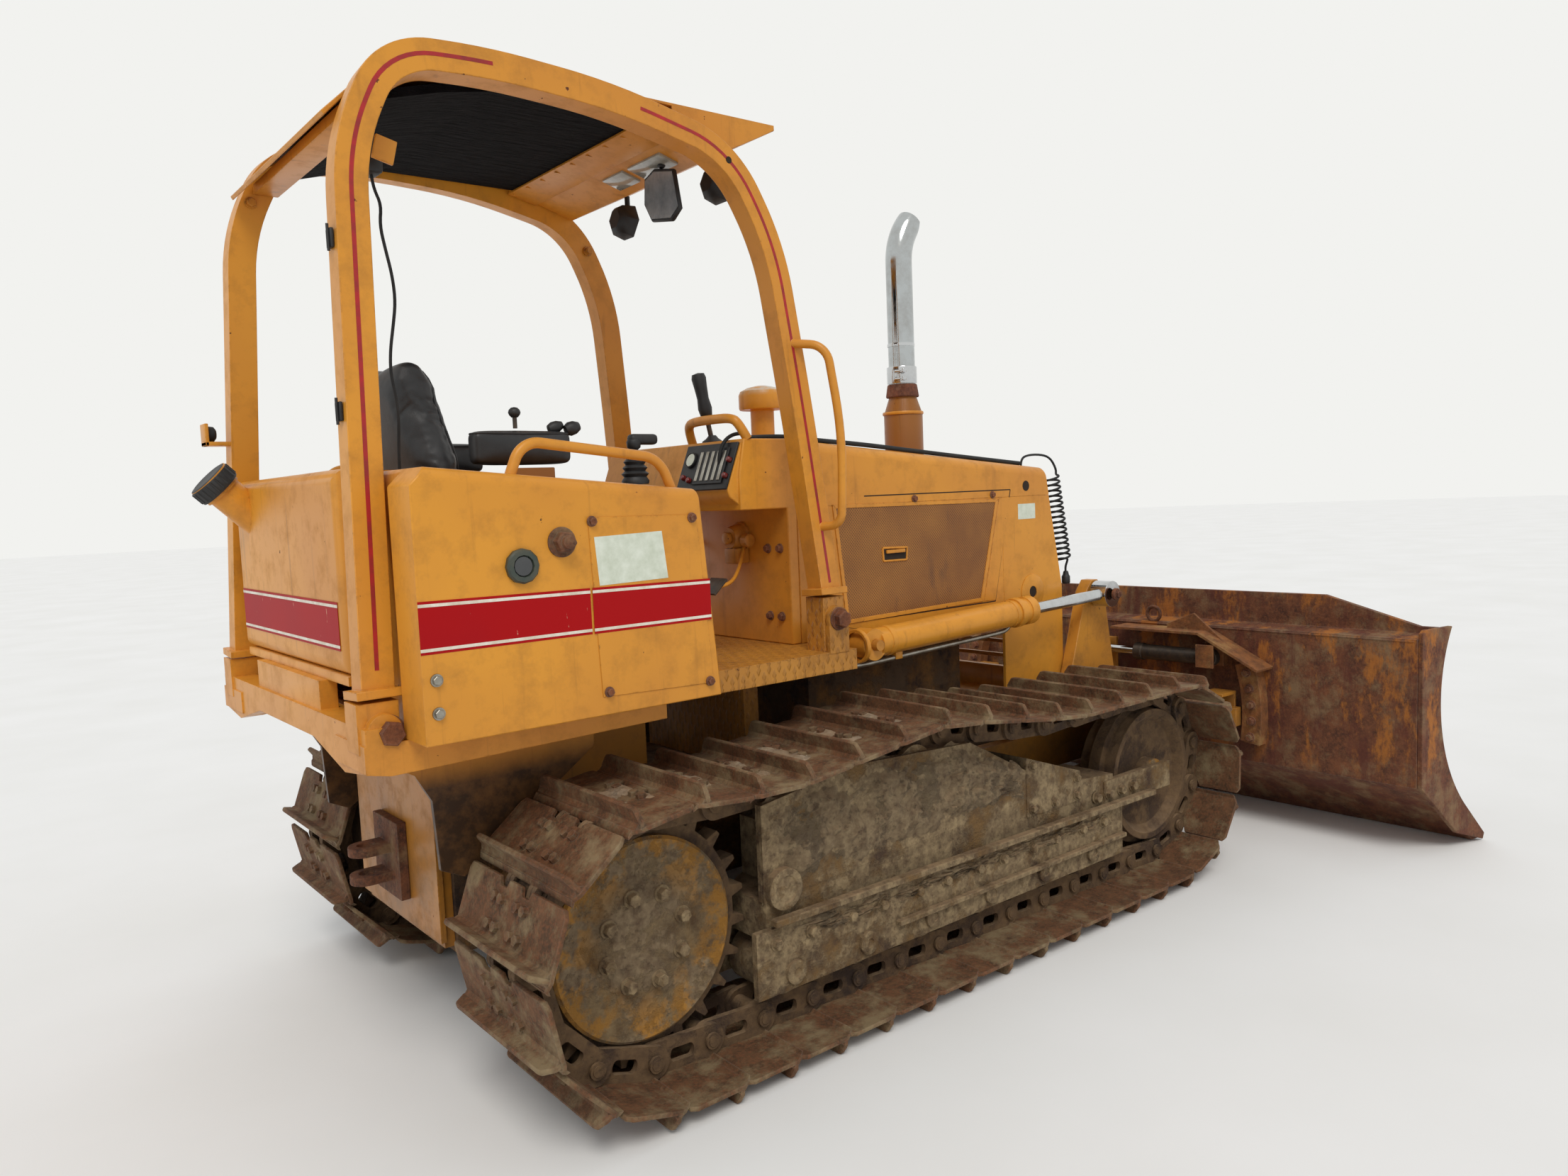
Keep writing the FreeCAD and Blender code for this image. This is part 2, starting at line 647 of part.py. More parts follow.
deck_nose = box("deck_nose", (along(S.deck_front - 10), along(S.deck_front)), (-S.deck_half, S.deck_half),
                (S.deck_z - 64, S.deck_z))
deck_legs = box("deck_legs", (along(700), along(760)), (-290, 290), (640.3, S.deck_z - 10))
node("floor_deck", fuse("floor_deck", well, deck_top, deck_nose, deck_legs, *skirts))

FENDER_ROUND = 30


def fender_box(name):
    """Side box beside the seat, its top falling to the front and its front edge raked."""
    top_front = S.fender_top - S.fender_drop
    whole = prism(name + "_whole", "XZ", [(along(S.fender_rear), S.fender_low),
                                          (along(S.fender_front + 45), S.fender_low),
                                          (along(S.fender_front), top_front), (along(S.fender_rear + 40), S.fender_top),
                                          (along(S.fender_rear), S.fender_top - 40)], -S.fender_out, -S.fender_in)
    notch = box(name + "_notch", (along(S.fender_rear - 10), along(S.fender_rear + 32)), (-625, -300),
                (S.fender_low - 10, S.fender_top + 10))
    outer = -number(S.fender_out)
    return rounded(name, cut(name + "_sharp", whole, notch), FENDER_ROUND,
                   lambda edge: abs(edge.YMax - outer) < 1e-3 and edge.ZMax > 1500 and edge.XLength > 300)


def fender_top_at(x):
    """Height of a fender box's sloping top."""
    rear, front = number(S.fender_rear) + 40, number(S.fender_front)
    return number(S.fender_top) - number(S.fender_drop) * (x - rear) / (front - rear)


pair("fender_box", fender_box)
seat_base = prism("seat_box", "XZ", [(along(-180), S.deck_z + 0.3), (along(240), S.deck_z + 0.3),
                                      (along(260), S.seat_z - 0.3), (along(-200), S.seat_z - 0.3)], -220, 220)
seat_hinge = box("seat_hinge", (along(-262), along(-172)), (-150, 150), (1300, S.seat_z + 109.7))
ARMREST_LOW, ARMREST_TOP = 1625, 1735
arm_posts = [box("arm_post_%d" % i, (along(-60), along(60)), (y, y + 58), (1200, ARMREST_LOW - 0.3))
             for i, y in enumerate((-320, 262))]
arm_links = [box("arm_link_%d" % i, (along(-60), along(60)), (y, y + 60), (1200, 1290))
             for i, y in enumerate((-270, 210))]
node("seat_base", fuse("seat_base", seat_base, seat_hinge, *(arm_posts + arm_links)))
cushion = prism("seat_cushion", "XZ", [(along(S.seat_rear), S.seat_z), (along(S.seat_rear + 480), S.seat_z),
                                       (along(S.seat_rear + 480), S.seat_z + 90),
                                       (along(S.seat_rear + 440), S.seat_z + 120),
                                       (along(S.seat_rear), S.seat_z + 100)], -250, 250)
node("seat_cushion", cushion)
seat_back = prism("seat_back", "XZ", [(along(-160), S.seat_z + 110), (along(-270), S.seat_z + 110),
                                      (along(-272), S.seat_z + 265), (along(-322), 1895), (along(-308), 1940),
                                      (along(-270), 1960), (along(-234), 1944), (along(-206), 1880),
                                      (along(-165), S.seat_z + 265)], -240, 240)
node("seat_back", seat_back)
DASH_HALF, DASH_LOW, DASH_REAR = 394, 1480, 667
armrests = [box("armrest_" + tag, (along(-180), along(130)), (y, y + 78), (ARMREST_LOW, ARMREST_TOP))
            for tag, y in (("right", -329.7), ("left", 251.7))]
node("armrests", together("armrests", *armrests))
bulkhead = prism("bulkhead", "XZ", [(along(S.hood_rear - 40), S.deck_z + 0.3), (along(S.hood_rear) - 0.3,
                                     S.deck_z + 0.3), (along(S.hood_rear) - 0.3, DASH_LOW + 10),
                                    (along(S.hood_rear - 40), DASH_LOW + 10)], -DASH_HALF, DASH_HALF)
dash_box = prism("dash_box", "XZ", [(along(645), DASH_LOW), (along(S.hood_rear) - 0.3, DASH_LOW),
                                    (along(S.hood_rear) - 0.3, S.hood_top_rear), (along(DASH_REAR), S.hood_top_rear),
                                    (along(645), DASH_LOW + 110)], -DASH_HALF, DASH_HALF)
gauge_pod = prism("gauge_pod", "XZ", [(along(DASH_REAR), S.hood_top_rear - 2), (along(606), 1545), (along(612), 1522),
                                      (along(650), DASH_LOW + 15), (along(690), DASH_LOW + 15)],
                  -DASH_HALF + 10, DASH_HALF - 10)
node("dash_cowl", fuse("dash_cowl", bulkhead, dash_box, gauge_pod))
gauges = prism("gauge_panel", "XZ", [(along(663), 1688.9), (along(605.7), 1545.1), (along(598.6), 1548),
                                     (along(655.9), 1691.8)], -380, -110)
node("gauge_panel", gauges)
stick = [(0, 0), (6, 0), (6, 30), (17, 36), (17, 55), (0, 55)]


def tall_lever(high):
    """Profile of a lever with a boot at its foot and a grip at its top."""
    return [(0, 0), (38, 0), (14, 70), (9, 75), (9, high - 100), (22, high - 90), (22, high), (0, high)]


levers = [turned("lever_%d" % i, "z", (along(x), y, foot), profile)
          for i, (x, y, foot, profile) in enumerate(((-37, -290, ARMREST_TOP + 0.3, stick),
                                                     (363, -250, S.deck_z + 0.3, tall_lever(671)),
                                                     (430, 190, S.deck_z + 0.3, tall_lever(520)),
                                                     (720, -160, S.hood_top_rear + 0.3, tall_lever(227))))]
node("levers", together("levers", *levers))

# Engine, hood and what stands on it.

node("engine_block", box("engine_block", (along(1020), along(1800)), (-240, 240), (640.3, 1400)))
HOOD_ROUND = 40
hood_out = prism("hood_out", "XZ", [(along(S.hood_rear), S.screen_top), (along(S.hood_rear), S.hood_top_rear),
                                    (along(S.hood_front), S.hood_top_front),
                                    (along(S.hood_front + 22), S.screen_top)], -S.hood_half, S.hood_half)
hood_in = prism("hood_in", "XZ", [(along(S.hood_rear) - 10, S.screen_top - 10),
                                  (along(S.hood_rear) - 10, S.hood_top_rear - S.sheet),
                                  (along(S.hood_front) - S.sheet, S.hood_top_front - S.sheet),
                                  (along(S.hood_front) + 14, S.screen_top - 10)],
                -S.hood_half + S.sheet, S.hood_half - S.sheet)


def hood_edge(edge):
    """A long top edge of the hood, outside or inside."""
    return edge.YLength < 1 and edge.XLength > 1000 and edge.ZMax > number(S.hood_top_rear - S.sheet) - 2


hood_skin = rounded("hood_skin", hood_out, HOOD_ROUND, hood_edge)
hood_space = rounded("hood_space", hood_in, HOOD_ROUND - S.sheet.value, hood_edge)
node("hood", cut("hood", hood_skin, hood_space))


def side_screen(name):
    return prism(name, "XZ", [(along(S.hood_rear + 160), S.screen_low), (along(1889.7), S.screen_low),
                              (along(1889.7), S.screen_top - 0.3), (along(S.hood_rear), S.screen_top - 0.3),
                              (along(S.hood_rear), S.deck_z + 0.3), (along(S.deck_front + 10), S.deck_z + 0.3)],
                 -S.hood_half, -S.hood_half + 12)


pair("side_screen", side_screen)
guard_line = [(along(1890), 640.3), (along(1890), S.screen_top - 0.3), (along(S.hood_front + 22), S.screen_top - 0.3),
              (along(S.guard_front), 1113), (along(S.guard_front), 640.3)]
guard_out = prism("guard_out", "XZ", guard_line, -S.hood_half, S.hood_half)
guard_in = prism("guard_in", "XZ", [(along(1880), 670), (along(1880), S.screen_top + 10),
                                    (along(S.hood_front) - 10, S.screen_top + 10), (along(S.guard_front) - 30, 1110),
                                    (along(S.guard_front) - 30, 670)], -S.hood_half + 14, S.hood_half - 14)
guard_hole = box("guard_hole", (along(2100), along(2300)), (-S.hood_half + 70, S.hood_half - 70), (760, 1400))
guard_shell = cut("guard_shell", cut("guard_hollow", guard_out, guard_in), guard_hole)
bars = [box("grille_bar_%d" % i, (along(S.guard_front - 30), along(S.guard_front - 12)),
            (-S.hood_half + 60, S.hood_half - 60), (800 + 60 * i, 815 + 60 * i)) for i in range(5)]
node("radiator_guard", fuse("radiator_guard", guard_shell, *bars))
slope = (S.hood_top_rear - S.hood_top_front) / (S.hood_front - S.hood_rear)
canister_z = S.hood_top_rear - (S.stack_x - S.hood_rear) * slope
muffler = turned("exhaust_muffler", "z", (along(S.stack_x), S.stack_y, canister_z + 6.9),
                 [(0, 0), (75, 0), (75, 180), (52, 250), (52, 290), (0, 290)])
node("exhaust_muffler", muffler)
stack_start = number(canister_z) + 297.2
stack_path = Part.Wire([
    Part.LineSegment(Vector(0, 0, 0), Vector(0, 0, 470)).toShape(),
    Part.Arc(Vector(0, 0, 470), Vector(17, 0, 555), Vector(66, 0, 629)).toShape()])
stack_path.translate(Vector(number(along(S.stack_x)), number(S.stack_y), stack_start))
outer_tube = Part.Wire(Part.makeCircle(51, stack_path.Vertexes[0].Point))
inner_tube = Part.Wire(Part.makeCircle(48, stack_path.Vertexes[0].Point))
tube = stack_path.makePipeShell([outer_tube], True, True).cut(stack_path.makePipeShell([inner_tube], True, True))
mouth = Part.makeBox(200, 200, 400, place(S.stack_x + 72, S.stack_y - 100, 2400))
tube = tube.cut(mouth)
node("exhaust_stack", shaped("exhaust_stack", tube))
cleaner_z = S.hood_top_rear - (S.precleaner_x - S.hood_rear) * slope
precleaner = turned("precleaner", "z", (along(S.precleaner_x), 0, cleaner_z + 5.2),
                    [(0, 0), (55, 0), (55, 120), (105, 135), (118, 200), (95, 245), (0, 262)])
node("precleaner", precleaner)

# The roll bars and the roof.


def pipe(corners, radius):
    """A round tube or bar through a list of corners."""
    path = rounded_path(corners)
    start = corners[0]
    ring_wire = Part.Wire(Part.makeCircle(radius, start, corners[1] - corners[0]))
    return path.makePipeShell([ring_wire], True, False)


def roll_bar(name):
    """One fore-and-aft arch of box tube with its feet."""
    deep, wide = number(S.post_deep), number(S.post_wide)
    line = [(number(S.rear_post_x), number(S.rear_post_z)), (number(S.rear_post_x) + 55, 2360),
            (-400, 2590), (-150, number(S.arch_top) - deep / 2), (200, 2600),
            (number(S.arch_front_x) - 60, number(S.arch_front_z) + 20), (720, 2260), (775, 1800),
            (number(S.front_post_x), number(S.front_post_z))]
    corners = [Vector(number(S.axle_x) + x, 0, z) for x, z in line]
    path = rounded_path(corners)
    start = Placement(corners[0], Rotation())
    outline_wire = Part.makePolygon([Vector(u * deep / 2, v * wide / 2, 0)
                                     for u, v in ((-1, -1), (1, -1), (1, 1), (-1, 1), (-1, -1))])
    outline_wire.Placement = start
    tube_solid = path.makePipeShell([outline_wire], True, False)
    feet = []
    for x, z, drop in ((number(S.rear_post_x), number(S.rear_post_z), 80),
                       (number(S.front_post_x), number(S.front_post_z), 170)):
        foot = Part.makeBox(deep + 30, wide + 30, 20)
        foot.translate(Vector(number(S.axle_x) + x - deep / 2 - 15, -wide / 2 - 15, z - 8))
        feet.append(foot)
    solid = tube_solid.fuse(feet)
    solid.rotate(Vector(0, 0, number(S.rear_post_z)), Vector(1, 0, 0), -number(S.post_lean))
    solid.translate(Vector(0, -number(S.post_foot_y), 0))
    handle = pipe([place(807, -560, 1420), place(838, -640, 1425), place(850, -642, 1700), place(812, -628, 1960),
                   place(757, -530, 1975)], 13)
    return shaped(name, solid.fuse(handle))


def rounded_path(corners):
    """Straight runs joined by arcs as large as they allow."""
    edges, here = [], corners[0]
    for before, corner, after in zip(corners, corners[1:], corners[2:]):
        first, second = (before - corner), (after - corner)
        reach = 0.45 * min(first.Length, second.Length)
        first.normalize()
        second.normalize()
        start, end = corner + first * reach, corner + second * reach
        turn = math.pi - first.getAngle(second)
        radius = reach / math.tan(turn / 2)
        bisector = (first + second)
        bisector.normalize()
        middle = corner + bisector * (math.hypot(radius, reach) - radius)
        edges.append(Part.LineSegment(here, start).toShape())
        edges.append(Part.Arc(start, middle, end).toShape())
        here = end
    edges.append(Part.LineSegment(here, corners[-1]).toShape())
    return Part.Wire(edges)


pair("roll_bar", roll_bar)

# The roof: a sheet along the arches that reaches level past them, with a box under its front.

ROOF_LINE = [(-425, 2556), (-236, 2612), (-100, 2640), (812, 2648)]
ROOF_HALF = 426.2
LINER_FRONT = 339.7
FRONT_BOX = [(340, 2580), (437, 2557), (575, 2516), (812, 2632), (812, 2642), (575, 2527), (437, 2567), (340, 2590)]


def roof_band(name, top, bottom, half, front):
    """A bent sheet that follows the roof, between two depths under its line, up to a front edge."""
    line = [(x, z) for x, z in ROOF_LINE if x < front]
    (x0, z0), (x1, z1) = line[-1], ROOF_LINE[len(line)] if len(line) < len(ROOF_LINE) else ROOF_LINE[-1]
    if x1 > x0:
        line.append((front, z0 + (z1 - z0) * (front - x0) / (x1 - x0)))
    upper = [(along(x), z - top) for x, z in line]
    lower = [(along(x), z - bottom) for x, z in reversed(line)]
    return prism(name, "XZ", upper + lower, -half, half)


front_box = prism("front_box", "XZ", [(along(x), z) for x, z in FRONT_BOX], -ROOF_HALF, ROOF_HALF)
roof_cheeks = [prism("roof_cheek_%d" % i, "XZ", [(along(x), z) for x, z in
                                                 ((437, 2557), (575, 2516), (812, 2632), (812, 2648), (437, 2644.7))],
                     y, y + 6) for i, y in enumerate((-ROOF_HALF, ROOF_HALF - 6))]
node("roof", fuse("roof", roof_band("roof_sheet", 0, 8, ROOF_HALF, 812), front_box, *roof_cheeks))
node("headliner", roof_band("headliner", 40, 62, 400, LINER_FRONT))
rear_visor = prism("rear_visor", "XZ", [(along(-425.3), 2556), (along(-537), 2446), (along(-531), 2436),
                                        (along(-425.3), 2546)], -424, 424)
node("visors", rear_visor)
hanger = box("roof_hanger", (along(-470), along(-400)), (-437.4, 437.4), (2463.7, 2493.7))
lamps = [box("lamp_" + tag, (along(x), along(x + long)), (y, y + 120), (z, z + high))
         for tag, x, y, z, long, high in (("right", 640, -360, 2440, 95, 95), ("left", 600, 120, 2425, 95, 95),
                                          ("rear", -440, -400, 2340, 60, 90))]
lamp_posts = [box("lamp_post_" + tag, (along(x), along(x + 20)), (y, y + 20), (z, top))
              for tag, x, y, z, top in (("right", 685, -310, 2530, 2569.6), ("left", 645, 170, 2515, 2550),
                                        ("rear", -420, -350, 2420, 2470))]
mirror_glass = box("mirror_glass", (along(505), along(517)), (-340, -160), (2360, 2520))
mirror_stalk = box("mirror_stalk", (along(506), along(514)), (-256, -244), (2510, 2533.8))
node("roof_fittings", fuse("roof_fittings", mirror_glass, mirror_stalk, hanger, *(lamps + lamp_posts)))


RAIL_REAR, RAIL_FRONT, RAIL_Y, RAIL_LEAN, RAIL_RISE, RAIL_RADIUS = -266, 196, 700, 41, 78, 13
RAIL_ROOT = 20


def grab_rail(name):
    """Bent hand rail whose feet are cut to the slope of the side box's top."""
    (rear, rear_z), (front, front_z) = [(x, fender_top_at(x) + 0.3) for x in (RAIL_REAR, RAIL_FRONT)]
    bent = shaped(name + "_tube", pipe([place(rear, -RAIL_Y, rear_z - RAIL_ROOT),
                                        place(rear + RAIL_LEAN, -RAIL_Y, rear_z + RAIL_RISE),
                                        place(front - RAIL_LEAN, -RAIL_Y, front_z + RAIL_RISE),
                                        place(front, -RAIL_Y, front_z - RAIL_ROOT)], RAIL_RADIUS))
    slope = (front_z - rear_z) / (front - rear)
    behind, ahead = rear - 100, front + 100
    below = prism(name + "_root", "XZ", [(along(behind), rear_z - 100 * slope), (along(ahead), front_z + 100 * slope),
                                         (along(ahead), 1400), (along(behind), 1400)],
                  -RAIL_Y - 50, -RAIL_Y + 50)
    return cut(name, bent, below)


pair("grab_rail", grab_rail)

# The push frame and the lift cylinders.


def push_arm(tag, side):
    low, high = S.frame_pivot_z - S.arm_high / 2, S.frame_pivot_z + S.arm_high / 2
    inner, outer = S.arm_y - S.arm_wide / 2, S.arm_y + S.arm_wide / 2
    ends = (inner, outer) if side > 0 else (-outer, -inner)
    arm = prism("arm_" + tag, "XZ", [(along(S.frame_pivot_x - 60), low), (along(2600), low), (along(2600), high),
                                     (along(S.frame_pivot_x - 60), high)], *ends)
    heel = rod("heel_" + tag, "y", 85, (along(S.frame_pivot_x), ends[0], S.frame_pivot_z), S.arm_wide)
    plate = (inner, outer) if side > 0 else (-outer, -inner)
    lug = prism("lug_" + tag, "XZ", [(along(2150), high - 10), (along(2560), high - 10), (along(S.lug_x + 60), S.lug_z + 20),
                                     (along(S.lug_x + 20), S.lug_z + 55), (along(S.lug_x - 20), S.lug_z + 55),
                                     (along(S.lug_x - 60), S.lug_z + 10)], *plate)
    return [arm, heel, lug]


cross = box("cross_box", (along(2440), along(2600)), (-S.arm_y, S.arm_y), (S.frame_pivot_z - 75, S.frame_pivot_z + 75))
NOSE_LOW, NOSE_HIGH = 430, 515
nose = prism("nose", "XY", [(along(2590), -330), (along(2700), -175), (along(2760), -150), (along(2800), -70),
                            (along(S.swing_x), -60), (along(S.swing_x), 60), (along(2800), 70),
                            (along(2760), 150), (along(2700), 175), (along(2590), 330)], NOSE_LOW, NOSE_HIGH)
boss = rod("boss", "z", 70, (along(S.swing_x), 0, NOSE_LOW), NOSE_HIGH - NOSE_LOW)
angle_pins = [rod("angle_pin_" + tag, "z", 18, (along(S.angle_base_x), y, NOSE_HIGH - 5), 85)
              for tag, y in (("right", -S.angle_base_y), ("left", S.angle_base_y))]
frame_solid = fuse("push_solid", cross, nose, boss, *(push_arm("right", -1) + push_arm("left", 1) + angle_pins))
heel_bore = rod("heel_bore", "y", 40.08, (along(S.frame_pivot_x), -600, S.frame_pivot_z), 1200)
swing_bore = rod("swing_bore", "z", 40.08, (along(S.swing_x), 0, 300), 400)
bores = together("push_bores", heel_bore, swing_bore)
node("push_frame", cut("push_frame", frame_solid, bores))


def ram(name, base, eye, body, rod_radius, barrel_length, bore_start, rod_start, eye_radius, eye_half, bore, pin):
    """A cylinder between two pins: its barrel with an eye, and its rod with another. Pin gives the pins' axis."""
    run = eye - base
    length = run.Length
    turn = Rotation(Vector(1, 0, 0), run)

    def settle(shape, low):
        shape.Placement = Placement(low, turn).multiply(shape.Placement)
        return shape

    across = turn.inverted().multVec(pin)

    def ring_at(x, hole):
        eye_solid = Part.makeCylinder(eye_radius, 2 * eye_half, Vector(x, 0, 0) - across * eye_half, across)
        if hole:
            eye_solid = eye_solid.cut(Part.makeCylinder(hole, 4 * eye_half, Vector(x, 0, 0) - across * 2 * eye_half,
                                                        across))
        return eye_solid

    tube_solid = Part.makeCylinder(body, barrel_length - 30, Vector(30, 0, 0), Vector(1, 0, 0))
    cap = Part.makeCylinder(body + 5, 40, Vector(barrel_length - 40, 0, 0), Vector(1, 0, 0))
    barrel = tube_solid.fuse([cap, Part.makeCylinder(eye_radius, 2 * eye_half, Vector(0, 0, 0) - across * eye_half,
                                                    across)])
    barrel = barrel.cut(Part.makeCylinder(rod_radius + 0.06, barrel_length, Vector(bore_start, 0, 0), Vector(1, 0, 0)))
    barrel = barrel.cut(Part.makeCylinder(bore, 4 * eye_half, Vector(0, 0, 0) - across * 2 * eye_half, across))
    shaft = Part.makeCylinder(rod_radius, length - rod_start, Vector(rod_start, 0, 0), Vector(1, 0, 0))
    shaft = shaft.fuse(ring_at(length, 0))
    return barrel, shaft.cut(Part.makeCylinder(bore, 4 * eye_half, Vector(length, 0, 0) - across * 2 * eye_half,
                                               across)), lambda shape: settle(shape, base)


def keep_ram(label, side, *sizes):
    barrel, shaft, settle = ram(label, *sizes)
    node(label + "_barrel" + side, shaped(label + "_barrel" + side, settle(barrel)))
    node(label + "_rod" + side, shaped(label + "_rod" + side, settle(shaft)))


LIFT_BORE_START, LIFT_ROD_START = 70, 262
for tag, side in (("_right", -1), ("_left", 1)):
    keep_ram("lift", tag, place(S.lift_base_x, side * number(S.lift_y), S.lift_base_z),
             place(S.lug_x, side * number(S.lift_y), S.lug_z), number(S.lift_bore) / 2, number(S.lift_rod) / 2,
             844, LIFT_BORE_START, LIFT_ROD_START, 52, 36, 18.08, Vector(0, 1, 0))
    keep_ram("angle", tag, place(S.angle_base_x, side * number(S.angle_base_y), S.angle_z),
             place(S.angle_eye_x, side * number(S.angle_eye_y), S.angle_z), 34, 18, 330, 42, 128, 33, 18, 18.08,
             Vector(0, 0, 1))
keep_ram("tilt", "", place(S.tilt_cylinder_x, -number(S.tilt_eye_y), S.tilt_cylinder_z),
         place(S.tilt_cylinder_x, -number(S.tilt_post_y), S.tilt_cylinder_z), 34, 18, 360, 45, 100, 38, 18, 18.08,
         Vector(1, 0, 0))

# The trunnion brackets that carry the lift cylinders' rear pins on the deck.

for tag, side in (("right", -1), ("left", 1)):
    y = S.lift_y * side
    pin = rod("lift_pin_" + tag, "y", 18, (along(S.lift_base_x), y - 60, S.lift_base_z), 120)
    plate_y = (-452, -440) if side < 0 else (440, 452)
    plate = prism("lift_plate_" + tag, "XZ", [(along(S.deck_front + 0.3), 980), (along(S.lift_base_x + 40), 990),
                                              (along(S.lift_base_x + 40), S.lift_base_z + 40),
                                              (along(S.deck_front + 0.3), S.lift_base_z + 80)], *plate_y)
    arm_box = box("lift_mount_" + tag, (along(S.deck_front + 0.3), along(S.deck_front + 20)),
                  (plate_y[0] - (100 if side < 0 else 0), plate_y[1] + (100 if side > 0 else 0)), (980, 1100))
    node("lift_bracket_" + tag, fuse("lift_bracket_" + tag, pin, plate, arm_box))

# The swing carrier behind the blade.

BEAM_LOW, BEAM_HIGH = 450, 530
beam = prism("swing_beam", "XY", [(along(2945), -300), (along(3015), -720), (along(3060), -720), (along(3060), 720),
                                  (along(3015), 720), (along(2945), 300)], BEAM_LOW, BEAM_HIGH)
fork = [box("fork_" + tag, (along(S.swing_x - 60), along(2960)), (-70, 70), (z, z + 25))
        for tag, z in (("low", NOSE_LOW - 30), ("high", NOSE_HIGH + 5))]
fork_back = box("fork_back", (along(2945), along(3000)), (-70, 70), (NOSE_LOW - 30, NOSE_HIGH + 30))
swing_pin = rod("swing_pin", "z", 40, (along(S.swing_x), 0, NOSE_LOW - 30), NOSE_HIGH - NOSE_LOW + 60)
tilt_pin = rod("tilt_pin", "x", 45, (along(3050), 0, S.tilt_z), 54)
towers = [box("tilt_tower_%d" % i, (along(x), along(x + 14)), (-110, -10), (460, 790))
          for i, x in enumerate((2966, 3054))]
ear_tops = []
for tag, side in (("right", -1), ("left", 1)):
    low_y, high_y = (-700, -600) if side < 0 else (600, 700)
    ear_tops.append(box("ear_top_" + tag, (along(2940), along(3055)), (low_y, high_y), (586, 600)))
    ear_tops.append(box("ear_post_" + tag, (along(3043), along(3055)), (low_y, high_y), (BEAM_HIGH, 600)))
node("swing_carrier", fuse("swing_carrier", beam, fork_back, swing_pin, tilt_pin, *(fork + ear_tops + towers)))

# The blade: a box behind a hollow-ground front, with flared end plates.


def blade_solid(name):
    back, low = number(S.blade_back), number(S.blade_clear)
    top = number(S.blade_end_top)
    half, tip = number(S.blade_half), number(S.blade_tip)

    def at(x, z):
        return Vector(x, 0, z)

    front_arc = Part.Arc(at(back + 140, top), at(back + 118, 520), at(back + 330, 130))
    edges = [front_arc.toShape()]
    walk = [at(back + 330, 130), at(tip - 20, low), at(tip - 60, low), at(back + 235, 140), at(back, 285),
            at(back, 868), at(back + 115, 880), at(back + 115, top), at(back + 140, top)]
    edges += [Part.LineSegment(a, b).toShape() for a, b in zip(walk, walk[1:])]
    face = Part.Face(Part.Wire(edges))
    wide = half + 120
    block = face.extrude(Vector(0, 2 * wide, 0))
    block.translate(Vector(0, -wide, 0))
    flare = math.tan(math.radians(9.5))
    reach = tip - back + 40
    plan = [Vector(back - 20, -half, 0), Vector(back + reach, -half - flare * (reach + 20), 0),
            Vector(back + reach, half + flare * (reach + 20), 0), Vector(back - 20, half, 0)]
    keep = Part.Face(Part.makePolygon(plan + plan[:1])).extrude(Vector(0, 0, 1200))
    block = block.common(keep)
    middle_top = number(S.blade_mid_top)
    rise = [Vector(back + 115, y, z) for y, z in ((-1385, top - 5), (-1000, middle_top), (1000, middle_top),
                                                  (1385, top - 5))]
    board = Part.Face(Part.makePolygon(rise + rise[:1])).extrude(Vector(25, 0, 0))
    block = block.fuse(board)
    boss_ring = Part.makeCylinder(90, 36, Vector(back - 35, 0, number(S.tilt_z)), Vector(1, 0, 0))
    block = block.fuse(boss_ring)
    block = block.cut(Part.makeCylinder(45.08, 60, Vector(back - 40, 0, number(S.tilt_z)), Vector(1, 0, 0)))
    block.translate(Vector(number(S.axle_x), 0, 0))
    return shaped(name, block)


def end_plate(name):
    """Flared plate that closes the blade's right end, its front edge hollow."""
    back, low, top = number(S.blade_back), number(S.blade_clear), number(S.blade_end_top)
    tip = number(S.blade_tip)
    arc = Part.Arc(Vector(back + 200, 0, top), Vector(back + 132, 0, 530), Vector(back + 300, 0, 180)).toShape()
    walk = [Vector(back + 300, 0, 180), Vector(tip, 0, low + 25), Vector(tip - 10, 0, low),
            Vector(back + 250, 0, low + 60), Vector(back, 0, 285), Vector(back, 0, top - 15),
            Vector(back + 20, 0, top), Vector(back + 200, 0, top)]
    edges = [arc] + [Part.LineSegment(a, b).toShape() for a, b in zip(walk, walk[1:])]
    plate = Part.Face(Part.Wire(edges)).extrude(Vector(0, -20, 0))
    plate.rotate(Vector(back, 0, 0), Vector(0, 0, 1), -9.5)
    plate.translate(Vector(number(S.axle_x), -number(S.blade_half) - 3.8, 0))
    return shaped(name, plate)


node("blade", blade_solid("blade"))
pair("blade_end", end_plate)


def blade_retainer(name):
    """Arc-shaped bolted retainer round the carrier's right end."""
    centre = Vector(number(along(S.blade_back)) - 60, 0, number(S.tilt_z))
    outer = Part.makeCylinder(815, 59.7, centre, Vector(1, 0, 0))
    inner = Part.makeCylinder(729, 80, centre - Vector(10, 0, 0), Vector(1, 0, 0))
    arc_ring = outer.cut(inner)
    lean_low, lean_high = math.radians(-9), math.radians(17)
    far = 1200
    wedge = [centre, centre + Vector(0, -far * math.cos(lean_low), far * math.sin(lean_low)),
             centre + Vector(0, -far * math.cos(lean_high), far * math.sin(lean_high))]
    slice_solid = Part.Face(Part.makePolygon(wedge + wedge[:1])).extrude(Vector(100, 0, 0))
    return shaped(name, arc_ring.common(slice_solid))


